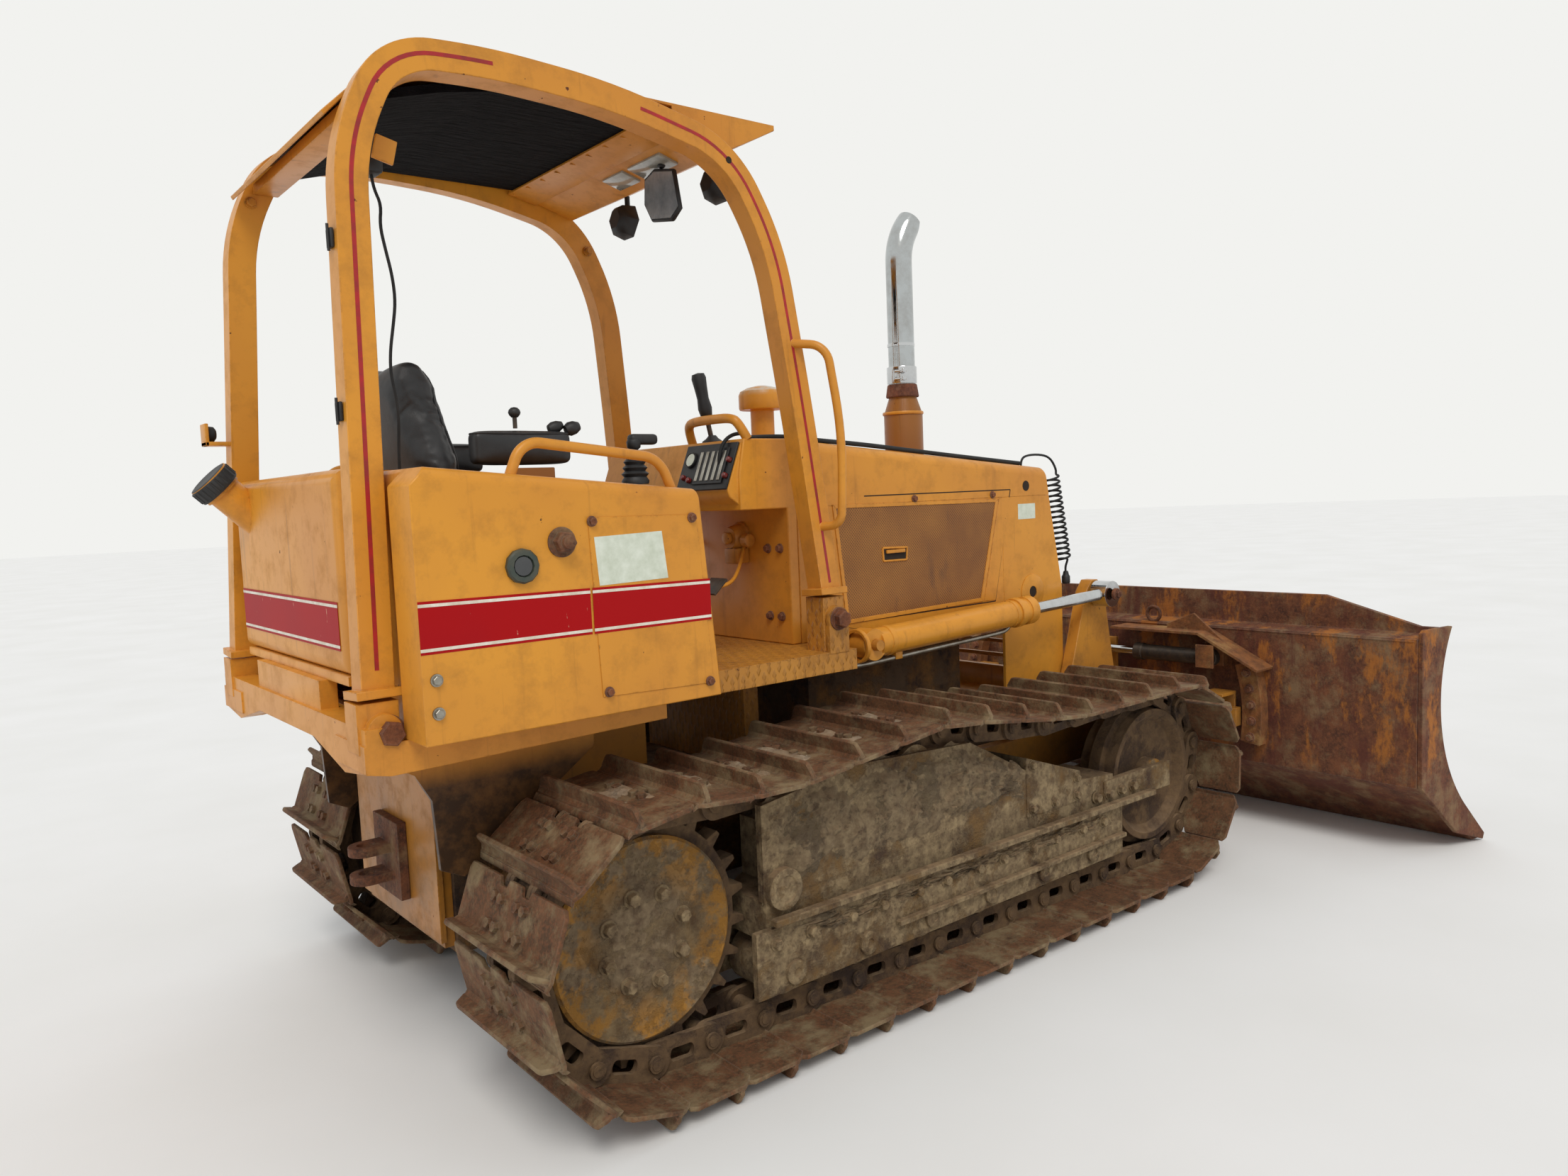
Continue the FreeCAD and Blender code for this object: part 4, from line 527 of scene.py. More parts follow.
def turned(form, start, way, profile, sides=32):
    """A round piece: a profile of (along, radius) in mm, from start, spun about the way it points."""
    part = bmesh.new()
    verts = [part.verts.new((max(radius, 0) / 1000, 0, along / 1000)) for along, radius in profile]
    edges = [part.edges.new(pair) for pair in zip(verts, verts[1:])]
    bmesh.ops.spin(part, geom=verts + edges, cent=(0, 0, 0), axis=(0, 0, 1), angle=2 * math.pi, steps=sides,
                   use_merge=True)
    bmesh.ops.remove_doubles(part, verts=part.verts, dist=1e-6)
    bmesh.ops.recalc_face_normals(part, faces=part.faces)
    bmesh.ops.rotate(part, matrix=Vector(way).to_track_quat("Z", "Y").to_matrix(), verts=part.verts)
    bmesh.ops.translate(part, vec=at(*start), verts=part.verts)
    join(form, part)


def disc(form, start, way, radius, thick, sides=24):
    """A plain round disc, radius and thick in mm, standing on start."""
    turned(form, start, way, [(0, 0), (0, radius), (thick, radius), (thick, 0)], sides)


def bolt(form, spot, way, across=24, high=14, washer=True, turn=0.0):
    """A hexagon head on its washer, standing on spot and pointing way."""
    part = bmesh.new()
    low = 0.0
    if washer:
        bmesh.ops.create_cone(part, cap_ends=True, segments=20, radius1=across * 0.78 / 1000,
                              radius2=across * 0.75 / 1000, depth=0.004)
        bmesh.ops.translate(part, vec=(0, 0, 0.0018), verts=part.verts)
        low = 0.0037
    head = bmesh.new()
    corner = across / math.sqrt(3) / 1000
    bmesh.ops.create_cone(head, cap_ends=True, segments=6, radius1=corner, radius2=corner, depth=high / 1000)
    soften(head, across * 0.06 / 1000, [e for e in head.edges if min(v.co.z for v in e.verts) > 0], 1)
    bmesh.ops.translate(head, vec=(0, 0, low + high / 2000), verts=head.verts)
    bmesh.ops.rotate(head, matrix=Matrix.Rotation(turn, 3, "Z"), verts=head.verts)
    join(part, head)
    bmesh.ops.rotate(part, matrix=Vector(way).to_track_quat("Z", "Y").to_matrix(), verts=part.verts)
    bmesh.ops.translate(part, vec=at(*spot), verts=part.verts)
    join(form, part)


def tube(name, points, radius, finish, body="chassis", sides=4, fine=6):
    """A bent hose, cord or bar through points in mm, as a bevelled curve."""
    data = bpy.data.curves.new(name, "CURVE")
    data.dimensions = "3D"
    data.bevel_depth = radius / 1000
    data.bevel_resolution = sides
    data.use_fill_caps = True
    line = data.splines.new("NURBS")
    line.points.add(len(points) - 1)
    for point, spot in zip(line.points, points):
        point.co = (*at(*spot), 1.0)
    line.order_u = 3
    line.use_endpoint_u = True
    line.resolution_u = fine
    return shown(name, data, finish, body)


# Finishes by name, made when first asked for.

RECIPES = {
    "yellow": lambda s: yellow_enamel("yellow enamel, weathered", s.clean_yellow, s.faded_yellow, s.dirt,
                                      s.chips),
    "worn yellow": lambda s: yellow_enamel("yellow enamel, worn and muddy", "#CC8B32", "#AE722C",
                                           min(1.0, s.dirt + 0.35), min(1.0, s.chips + 0.35)),
    # A shaded copy of the yellow enamel: its darker base colours are painted shade, with dust laid over.
    "shaded yellow": lambda s: yellow_enamel("yellow enamel, painted shade and dust", "#A4682A", "#8A5826", 0.8,
                                             0.5),
    "beam": lambda s: beam_finish(s.clean_yellow, s.faded_yellow, s.dirt, s.chips),
    "bleached cap": lambda s: bleached_cap(s.clean_yellow, s.faded_yellow, s.dirt, s.chips),
    "tread": lambda s: tread_plate(),
    "blade": lambda s: blade_steel(),
    "shoe": lambda s: rusty_steel("track shoe steel", "#46301C", "#735033", "#8A7757", 0.45, 0.2),
    "rust": lambda s: rusty_steel("rusty plate", "#3B241A", "#75492E", "#85694A", 0.35, 0.2),
    "guard": lambda s: rusty_steel("guard plate, rusty", "#5C3A20", "#9A6232", "#A07A48", 0.35, 0.2),
    "burnt": lambda s: rusty_steel("burnt exhaust pipe", "#4A2B20", "#7E4A33", "#8E6B55", 0.3, 0.1),
    "rusty bolt": lambda s: rusty_steel("rusty bolt head", "#4A2718", "#8A5230", "#8A7150", 0.2, 0.3),
    "link": lambda s: muddy_casting("track chain, caked", "#4A3626", "#6E5538", "#35261C", 0.7, 5),
    "frame": lambda s: muddy_casting("roller frame, muddy", "#7A5C34", "#9A8562", "#4A3524",
                                     min(1.0, s.mud + 0.3), 9),
    "hull": lambda s: muddy_casting("main frame, muddy", "#7C5527", "#5B452F", "#33231A", s.mud, 6),
    "dry mud": lambda s: muddy_casting("dried mud", "#77654A", "#8A7759", "#5E4C38", 0.9, 12),
    "pale mud": lambda s: muddy_casting("dried mud, pale", "#97876F", "#A89A85", "#6E5C48", 0.9, 7),
    "sprocket disc": lambda s: sprocket_finish(),
    "chrome": lambda s: chromed_steel(),
    "bright pipe": lambda s: chromed_steel("chromed exhaust pipe", "#B9BDBE", 0.45),
    "black": lambda s: black_plastic(),
    "rubber": lambda s: black_plastic("black rubber", "#121314", "#262626", 0.75),
    "vinyl": lambda s: seat_vinyl(),
    "lining": lambda s: crumpled_lining(),
    "red": lambda s: banded_tape(),
    "punched": lambda s: perforated_sheet(),
    "arch red": lambda s: plain_finish("red pinline tape", "#AE121A", "#821C1C", 0.45),
    "white line": lambda s: plain_finish("white pinline tape", "#E9E3D6", "#CDBFA6", 0.4),
    "zinc": lambda s: plain_finish("zinc plated screw", "#A9A69C", "#7E766A", 0.35, 0.9),
    "dark metal": lambda s: plain_finish("oiled dark steel", "#3A3531", "#5A4C3F", 0.45, 0.6),
    "glass": lambda s: plain_finish("smoked gauge glass", "#1A1C1E", "#2A2D2F", 0.06, 0.0, 60,
                                    Coat_Weight=1.0),
    "lens": lambda s: plain_finish("lamp lens", "#A09E92", "#85837A", 0.2, 0.0, 30, Coat_Weight=1.0),
    "mirror glass": lambda s: plain_finish("mirror glass", "#AEB4B8", "#8E959A", 0.22, 0.5, 40),
    "red knob": lambda s: plain_finish("red moulded knob", "#7A1B18", "#5A2420", 0.35),
    "dark green ring": lambda s: plain_finish("sight glass ring, dark green enamel", "#2E3A34", "#4A4A3C",
                                              0.4),
    "dark recess": lambda s: plain_finish("shadowed recess", "#1C130A", "#2B1D10", 0.9),
    "blank plate": lambda s: plain_finish("blank printed plate", "#DDE2D2", "#C2C9B4", 0.45),
}
MADE = {}


def paint(name):
    """The material of a finish, made once."""
    if name not in MADE:
        MADE[name] = RECIPES[name](bpy.context.scene.bulldozer)
    return MADE[name]


# The nodes that keep their own shape. A star stands for right and then left.

OWN_SHAPES = [
    # node, body, finish, rounding in mm
    ("main_frame", "chassis", "hull", 3),
    ("rear_housing", "chassis", "worn yellow", 4),
    ("drawbar", "chassis", "rust", 3),
    ("engine_block", "chassis", "hull", 0),
    ("hood", "chassis", "yellow", 0),
    ("side_screen_*", "chassis", "yellow", 2),
    ("radiator_guard", "chassis", "yellow", 2),
    ("exhaust_muffler", "chassis", "shaded yellow", 2),
    ("exhaust_stack", "chassis", "bright pipe", 0),
    ("dash_cowl", "chassis", "yellow", 4),
    ("gauge_panel", "chassis", "black", 2),
    ("floor_deck", "chassis", "tread", 2),
    ("fender_box_*", "chassis", "yellow", 3),
    ("fuel_tank", "chassis", "yellow", 0),
    ("rear_beam", "chassis", "beam", 3),
    ("seat_base", "chassis", "shaded yellow", 3),
    ("roll_bar_*", "chassis", "yellow", 4),
    ("roof", "chassis", "yellow", 2),
    ("visors", "chassis", "yellow", 2),
    ("grab_rail_*", "chassis", "yellow", 0),
    ("track_frame_*", "chassis", "frame", 3),
    ("sprocket_*", "chassis", "link", 2),
    ("idler_*", "chassis", "link", 2),
    ("lift_bracket_*", "chassis", "worn yellow", 2),
    ("push_frame", "push_frame", "worn yellow", 4),
    ("swing_carrier", "swing_carrier", "worn yellow", 3),
    ("blade", "blade", "blade", 4),
    ("blade_end_*", "blade", "blade", 3),
    ("blade_guards", "blade", "guard", 2),
    ("lift_barrel_*", "lift_barrel_*", "yellow", 2),
    ("lift_rod_*", "lift_rod_*", "chrome", 1),
    ("angle_barrel_*", "angle_barrel_*", "worn yellow", 2),
    ("angle_rod_*", "angle_rod_*", "chrome", 1),
    ("tilt_barrel", "tilt_barrel", "dark metal", 2),
    ("tilt_rod", "tilt_rod", "chrome", 1),
    ("headliner", "chassis", "lining", 0),
    ("cable_plug", "chassis", "black", 1),
]


# Camera, floor and light. The camera is the photographer's, worked out from the picture: its focal length
# and the picture's width in pixels, its place in the row frame, and its yaw, pitch and roll in degrees.

SENSOR_MM, FOCAL_PIXELS, PICTURE_PIXELS = 36, 1538.9, 2212
EYE = (-1393, -3073, 1523)
AIM = (39.36, -4.89, -2.34)


class BULLDOZER_OT_stage(bpy.types.Operator):
    """The camera where the photographer stood, a pale floor and soft light from the sky."""
    bl_idname = "bulldozer.stage"
    bl_label = "Camera, floor and light"

    def execute(self, context):
        data = bpy.data.cameras.new("eye")
        data.sensor_width = SENSOR_MM
        data.sensor_fit = "HORIZONTAL"
        data.lens = SENSOR_MM * FOCAL_PIXELS / PICTURE_PIXELS
        data.clip_end = 200
        yaw, pitch, roll = (math.radians(angle) for angle in AIM)
        ahead = Vector((math.sin(yaw) * math.cos(pitch), math.cos(yaw) * math.cos(pitch), math.sin(pitch)))
        level = Vector((math.cos(yaw), -math.sin(yaw), 0))
        above = level.cross(ahead)
        right = level * math.cos(roll) + above * math.sin(roll)
        up = above * math.cos(roll) - level * math.sin(roll)
        turn = Matrix((right, up, -ahead)).transposed().to_4x4()
        camera = bpy.data.objects.new("eye", data)
        context.scene.collection.objects.link(camera)
        camera.matrix_world = Matrix.Translation(at(*EYE)) @ turn
        context.scene.camera = camera

        form = bmesh.new()
        bmesh.ops.create_circle(form, cap_ends=True, segments=64, radius=60)
        mesh = bpy.data.meshes.new("floor")
        form.to_mesh(mesh)
        form.free()
        ground, tree, shader = surface("pale floor", 0.9)
        cover(tree, shader, "#F4F3F0", (patches(tree, 900, 0.3, 0.7, 4, 0.5), "#EFEEEA"))
        mesh.materials.append(ground)
        floor = bpy.data.objects.new("floor", mesh)
        context.scene.collection.objects.link(floor)

        sky = bpy.data.worlds.new("overcast sky")
        sky.use_nodes = True
        context.scene.world = sky
        tree = sky.node_tree
        light = tree.nodes["Background"]
        light.inputs["Color"].default_value = linear("#EEF1F5")
        light.inputs["Strength"].default_value = context.scene.bulldozer.sky
        seen = add(tree, "ShaderNodeBackground", {"Color": "#F2F2EF", "Strength": 1.0})
        ray = add(tree, "ShaderNodeLightPath")
        direct = either(tree, ray.outputs["Is Camera Ray"], ray.outputs["Is Glossy Ray"])
        direct = either(tree, direct, ray.outputs["Is Transmission Ray"])
        mix = add(tree, "ShaderNodeMixShader", {0: direct, 1: light.outputs[0], 2: seen.outputs[0]})
        tree.links.new(mix.outputs[0], tree.nodes["World Output"].inputs["Surface"])

        data = bpy.data.lights.new("sun", "SUN")
        data.energy = context.scene.bulldozer.sun
        data.angle = math.radians(25)
        data.color = (1.0, 0.975, 0.94)
        sun = bpy.data.objects.new("sun", data)
        sun.rotation_euler = Vector((0.55, 0.85, -1.25)).to_track_quat("-Z", "Y").to_euler()
        context.scene.collection.objects.link(sun)
        return {"FINISHED"}


# Cords. The routes are in mm in the row frame, and the coil's length is in metres.

LAMP_CORD = [(-400, -340, 2339.7), (-398, -341, 2310), (-385, -352, 2270), (-400, -372, 2215),
             (-395, -385, 2155), (-380, -378, 2095), (-372, -366, 2035), (-380, -360, 1975),
             (-392, -362, 1915), (-398, -370, 1858), (-392, -378, 1805), (-388, -376, 1750),
             (-390, -372, 1700), (-392, -370, 1650), (-392, -368, 1605.9)]
COIL_LOW, COIL_TOP = (2325, -353, 1208), (2251, -353, 1572)
COIL_RADIUS, COIL_PITCH, COIL_TURNS, COIL_STEPS = 29, 22, 16, 12
COIL_UPPER = [(2085, -335, 1596.6), (2085, -335, 1618), (2105, -340, 1638), (2185, -346, 1642),
              (2250, -351, 1630)]
COIL_LOWER = [(2336, -353, 1182), (2337, -353, 1164.3)]


class BULLDOZER_OT_lamp_cord(bpy.types.Operator):
    """The thin lead that hangs inside the rear post."""
    bl_idname = "bulldozer.lamp_cord"
    bl_label = "Lamp cord"

    def execute(self, context):
        lead = tube("lamp_cord.finished", LAMP_CORD, 4, "rubber", sides=3, fine=4)
        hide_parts("lamp_cord")
        return {"FINISHED"}


def coil_points():
    """The coiled lead's route from the hood top, round its turns and down to the plug."""
    low, top = Vector(COIL_LOW), Vector(COIL_TOP)
    climb = (top - low).normalized()
    lean = Vector((0, 0, 1)).rotation_difference(climb)
    steps = COIL_TURNS * COIL_STEPS
    turns = []
    for i in range(steps + 1):
        angle = 2 * math.pi * i / COIL_STEPS
        around = Vector((math.cos(angle), math.sin(angle), 0)) * COIL_RADIUS
        turns.append(low + lean @ (around + Vector((0, 0, COIL_PITCH * i / COIL_STEPS))))
    upper = [Vector(point) for point in COIL_UPPER] + [turns[-1] + Vector((4, 0, 22))]
    lower = [turns[0] + Vector((-6, 0, -14))] + [Vector(point) for point in COIL_LOWER]
    return upper + turns[::-1] + lower


class BULLDOZER_OT_coiled_cable(bpy.types.Operator):
    """The coiled lead at the hood's right front corner, down to its plug."""
    bl_idname = "bulldozer.coiled_cable"
    bl_label = "Coiled cable"

    def execute(self, context):
        route = coil_points()
        lead = tube("curly_cable.finished", route, 4.5, "rubber", sides=3, fine=4)
        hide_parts("curly_cable")
        return {"FINISHED"}


class BULLDOZER_OT_rigid_nodes(bpy.types.Operator):
    """Every rigid sub-part that keeps its own shape, with rounded edges and its finish."""
    bl_idname = "bulldozer.rigid_nodes"
    bl_label = "Frame, body and cylinders"

    def execute(self, context):
        for node, body, finish, edge in OWN_SHAPES:
            for word in ("right", "left") if "*" in node else ("",):
                dressed(node.replace("*", word), finish, edge, body.replace("*", word))
        return {"FINISHED"}


# Tracks. Sizes in mm, as in the solids. The last angles are where the chain leaves its wheels, in radians.

PITCH, SHOES, LINK_HALF = 175.5, 37, 43
SHOE_WIDE, SHOE_PLATE, BAR_HIGH, BAR_THICK = 500, 12, 45, 14
TRACK_MIDDLE, STRAND_Y = 710, 57
STRAND_JOG, STRAND_THICK = 19, 17
PIN_BASE, SPROCKET_R, IDLER_R, IDLER_X = 100, 321.214, 305, 2257.538
REAR_SAG, CREST, FRONT_SAG = (330, 716), (950, 790), (1560, 707)
IDLER_LEAVES, SPROCKET_MEETS = 1.575101, 1.487517


def track_pins():
    """Pins one pitch apart: along the ground, round the idler, and over the top roller with two sags."""
    idler_z, sprocket_z = PIN_BASE + IDLER_R, PIN_BASE + SPROCKET_R
    foot = (IDLER_X + IDLER_R * math.cos(IDLER_LEAVES), idler_z + IDLER_R * math.sin(IDLER_LEAVES))
    head = (SPROCKET_R * math.cos(SPROCKET_MEETS), sprocket_z + SPROCKET_R * math.sin(SPROCKET_MEETS))
    # A straight leg is its two ends, and one round a wheel is its centre, radius and two angles.
    legs = [
        ((0, PIN_BASE), (IDLER_X, PIN_BASE)),
        (IDLER_X, idler_z, IDLER_R, -math.pi / 2, IDLER_LEAVES),
        (foot, FRONT_SAG),
        (FRONT_SAG, CREST),
        (CREST, REAR_SAG),
        (REAR_SAG, head),
        (0, sprocket_z, SPROCKET_R, SPROCKET_MEETS, 1.5 * math.pi),
    ]
    found = []
    for i in range(SHOES):
        way = i * PITCH
        for leg in legs:
            straight = len(leg) == 2
            length = math.dist(*leg) if straight else leg[2] * (leg[4] - leg[3])
            if way < length:
                break
            way -= length
        if straight:
            found.append(Vector(leg[0]).lerp(Vector(leg[1]), way / length))
        else:
            turn = leg[3] + way / leg[2]
            found.append(Vector((leg[0] + leg[2] * math.cos(turn), leg[1] + leg[2] * math.sin(turn))))
    return found


def prism(form, corners, push, edge=0.0):
    """A plate in plain mm from its outline's corners, pushed along a vector."""
    join(form, pushed(corners, push, edge, 0.6))


def pin_rod(form, radius, low, high, sides):
    """A round bar in plain mm across the track on the pin's line."""
    part = bmesh.new()
    bmesh.ops.create_cone(part, cap_ends=True, segments=sides, radius1=radius, radius2=radius,
                          depth=high - low)
    bmesh.ops.rotate(part, matrix=Matrix.Rotation(math.pi / 2, 3, "X"), verts=part.verts)
    bmesh.ops.translate(part, vec=(0, (low + high) / 2, 0), verts=part.verts)
    join(form, part)


def shoe_form():
    """One shoe lying on its link: x along the track, z outwards, the pin line at z 0."""
    form = bmesh.new()
    half, low, high = SHOE_WIDE / 2, LINK_HALF, LINK_HALF + SHOE_PLATE
    notch = [(-9, -half + 12), (8, -half), (150, -half), (168, -half + 10), (168, half - 10), (150, half),
             (8, half), (-9, half - 12), (-9, 84), (12, 74), (12, 40), (-9, 30), (-9, -30), (12, -40),
             (12, -74), (-9, -84)]
    prism(form, [(x, y, low) for x, y in notch], (0, 0, high - low), 1.8)
    prism(form, [(165, -half + 12, low + 1), (178, -half + 16, low - 9), (178, -half + 16, low - 1),
                 (168, -half + 12, high)], (0, SHOE_WIDE - 26, 0))
    bar_end = PITCH * 0.86
    bar_start, top = bar_end - BAR_THICK, high + BAR_HIGH
    outline = [(bar_start, -half + 1, high - 2), (bar_start, -half + 1, high + 14),
               (bar_start, -half + 20, top - 3), (bar_start, -half + 34, top), (bar_start, half - 34, top),
               (bar_start, half - 20, top - 3), (bar_start, half - 1, high + 14),
               (bar_start, half - 1, high - 2)]
    prism(form, outline, (BAR_THICK, 0, 0), 3.0)
    for foot, tip in ((bar_start - 9, bar_start + 1), (bar_end + 9, bar_end - 1)):
        prism(form, [(foot, -half + 6, high - 0.5), (tip, -half + 6, high - 0.5),
                     (tip, -half + 6, high + 11)], (0, SHOE_WIDE - 12, 0))
    for x in (38, 104):
        for y in (-76, -40, 40, 76):
            nut = bmesh.new()
            bmesh.ops.create_cone(nut, cap_ends=True, segments=6, radius1=14.5, radius2=13, depth=13)
            bmesh.ops.translate(nut, vec=(x, y, high + 6), verts=nut.verts)
            join(form, nut)
    return form


def link_form():
    """One pair of links with its bush and pin, in the same place as shoe_form."""
    form = bmesh.new()
    steps = 10
    turns = [math.pi * (i / steps - 0.5) for i in range(steps + 1)]
    rim = [(-0.93 * LINK_HALF * math.cos(turn), -LINK_HALF * math.sin(turn)) for turn in turns]
    rim += [(PITCH + 40 * math.cos(turn), LINK_HALF * math.sin(turn)) for turn in turns]
    window = []
    for x, z in rim:
        away = Vector((x - PITCH / 2, z))
        window.append((PITCH / 2 + away.x * 0.27, 4 + away.y * 0.42))
    for side in (-1, 1):
        part = bmesh.new()
        rings = []
        for ring in (rim, window):
            verts = [part.verts.new((x, 0, z)) for x, z in ring]
            rings.append([part.edges.new(pair) for pair in in_pairs(verts)])
        bmesh.ops.bridge_loops(part, edges=rings[0] + rings[1])
        grown = bmesh.ops.extrude_face_region(part, geom=part.faces[:])["geom"]
        bmesh.ops.translate(part, vec=(0, STRAND_THICK, 0),
                            verts=[v for v in grown if isinstance(v, bmesh.types.BMVert)])
        for vert in part.verts:
            share = min(1.0, max(0.0, vert.co.x / PITCH))
            vert.co.y += side * (STRAND_Y + STRAND_JOG * (share - 0.5)) - STRAND_THICK / 2
        bmesh.ops.recalc_face_normals(part, faces=part.faces)
        join(form, part)
    pin_rod(form, 27, -50, 50, 18)
    pin_rod(form, 15, -86, 86, 12)
    for y in (-80, 80):
        pin_rod(form, 22, y - 4, y + 4, 14)
    return form


# Half the length along the track and half the width of the dried mud on a shoe.
CAKE_LONG, CAKE_HALF = 62, 120


def cake_form(seed):
    """Dried mud left over the bolts of a shoe, between its bar and the next: a low lumpy crust."""
    form = bmesh.new()
    bmesh.ops.create_grid(form, x_segments=12, y_segments=22, size=1)
    bmesh.ops.scale(form, vec=(CAKE_LONG, CAKE_HALF, 1), verts=form.verts)
    base = LINK_HALF + SHOE_PLATE
    for vert in form.verts:
        x, y = vert.co.x, vert.co.y
        rim = min(1.0, (CAKE_LONG - abs(x)) / 18, (CAKE_HALF - abs(y)) / 40)
        lump = noise.noise(Vector((x / 60 + seed * 7.1, y / 70, seed * 3.3)))
        grain = noise.noise(Vector((x / 13, y / 13, seed * 5.7)))
        vert.co.z = base - 5 + max(0.0, rim) * (9 + 17 * lump + 5 * grain)
    bmesh.ops.translate(form, vec=(66, 0, 0), verts=form.verts)
    return form


def set_along_track(forms, side, only=None):
    """Copies of plain forms, one on each link of a side's track, in one bmesh in the row frame."""
    pins = track_pins()
    whole = bmesh.new()
    for i, here in enumerate(pins):
        after = pins[(i + 1) % SHOES]
        way = math.atan2(after.y - here.y, after.x - here.x)
        if only and not only(here, way):
            continue
        source = forms[i % len(forms)].copy()
        turn = Matrix(((math.cos(way), 0, math.sin(way)), (0, 1, 0), (math.sin(way), 0, -math.cos(way))))
        bmesh.ops.transform(source, matrix=turn.to_4x4(), verts=source.verts)
        bmesh.ops.scale(source, vec=(0.001, 0.001, 0.001), verts=source.verts)
        bmesh.ops.translate(source, vec=at(here.x, side * TRACK_MIDDLE, here.y), verts=source.verts)
        join(whole, source)
    return whole


class BULLDOZER_OT_tracks(bpy.types.Operator):
    """Shoes with their bars and bolts, chain links with pins, and the mud that lies on the top run."""
    bl_idname = "bulldozer.tracks"
    bl_label = "Tracks"

    def execute(self, context):
        shoe, link = shoe_form(), link_form()
        cakes = [cake_form(seed) for seed in range(1, 6)]
        for side, word in SIDES:
            piece("track_shoes_" + word, set_along_track([shoe], side), "shoe", replaced=("track_" + word,),
                  sharp=40)
            piece("track_chain_" + word, set_along_track([link], side), "link", sharp=40)
            piece("shoe_mud_" + word, set_along_track(cakes, side, lambda here,
                                                      way: abs(abs(way) - math.pi) < 0.5), "pale mud",
                  sharp=60)
        return {"FINISHED"}


# Side boxes and tank. The band is given at its two ends, as x with its upper and lower height.

FENDER_Y, TANK_X, TANK_HALF, SKIN, LINE_WIDE = 759, -585, 431, 0.8, 7
BAND = ((-519, 1324, 1207), (258, 1314, 1207))
FILLER = (TANK_X, 330, 1541)
COVER = [(-94, 1488), (222, 1482), (254, 1040), (-78, 1050)]


def band_corners(start, end, low=0.0, high=0.0):
    """Corners of the red band between two places along it, drawn in from its lower and upper edge."""
    (x0, top0, foot0), (x1, top1, foot1) = BAND

    def level(x):
        share = (x - x0) / (x1 - x0)
        return top0 + share * (top1 - top0), foot0 + share * (foot1 - foot0)

    (top_a, foot_a), (top_b, foot_b) = level(start), level(end)
    return [(start, top_a - high), (end, top_b - high), (end, foot_b + low), (start, foot_a + low)]


class BULLDOZER_OT_side_boxes(bpy.types.Operator):
    """The side boxes' red band and pinlines, bolted cover, sight glass, plugs and screws."""
    bl_idname = "bulldozer.side_boxes"
    bl_label = "Side boxes"

    def execute(self, context):
        for side, word in SIDES:
            red, lines, cover, screws, rusty = (bmesh.new() for _ in range(5))
            side_plate(cover, side, FENDER_Y, COVER, 2.5, 1.2)
            for start, end, base in ((-519, -97, FENDER_Y), (-92, 254, FENDER_Y + 2.5)):
                side_plate(red, side, base, band_corners(start, end), SKIN, 0)
                top_rear, top_front, foot_front, foot_rear = band_corners(start, end, 6, 6)
                for (x0, z0), (x1, z1) in (((foot_rear[0], foot_rear[1] + LINE_WIDE),
                                            (foot_front[0], foot_front[1] + LINE_WIDE)),
                                           (top_rear, top_front)):
                    corners = [(x0, z0), (x1, z1), (x1, z1 - LINE_WIDE), (x0, z0 - LINE_WIDE)]
                    side_plate(lines, side, base + SKIN, corners, 0.5, 0)
            for x, z in ((-84, 1478), (206, 1474), (-61, 1061), (240, 1046)):
                bolt(rusty, (x, side * (FENDER_Y + 2.5), z), (0, side, 0), 17, 9, True, 0.3)
            for x, z in ((-488, 1149), (-488, 1075)):
                bolt(screws, (x, side * FENDER_Y, z), (0, side, 0), 19, 8, True, 0.2)
            piece("band_side_" + word, red, "red")
            piece("pinlines_side_" + word, lines, "white line")
            piece("box_cover_" + word, cover, "yellow")
            piece("box_bolts_" + word, rusty, "rusty bolt")
            piece("box_screws_" + word, screws, "zinc")
        fittings, glass, plug = bmesh.new(), bmesh.new(), bmesh.new()
        turned(fittings, (-271, -FENDER_Y, 1384), (0, -1, 0),
               [(0, 30), (0, 41), (10, 41), (15, 37), (15, 26), (9, 25), (9, 0)], 12)
        turned(glass, (-271, -FENDER_Y - 9.3, 1384), (0, -1, 0), [(0, 0), (0, 24), (2.2, 22), (3, 0)], 24)
        turned(plug, (-166, -FENDER_Y, 1433), (0, -1, 0), [(0, 0), (0, 36), (5, 36), (7, 30), (7, 0)], 28)
        bolt(plug, (-166, -FENDER_Y - 6, 1433), (0, -1, 0), 46, 26, False, 0.4)
        turned(plug, (-166, -FENDER_Y - 30, 1433), (0, -1, 0), [(0, 0), (0, 17), (12, 15), (14, 11), (14, 0)],
               20)
        piece("sight_glass_ring", fittings, "dark green ring")
        piece("sight_glass", glass, "glass")
        piece("filler_plug", plug, "rust")
        label = bmesh.new()
        side_plate(label, -1, FENDER_Y + 2.5, [(-80, 1440), (113, 1445), (126, 1326), (-71, 1322)], 0.7, 0)
        piece("blank_side_plate", label, "blank plate")
        return {"FINISHED"}


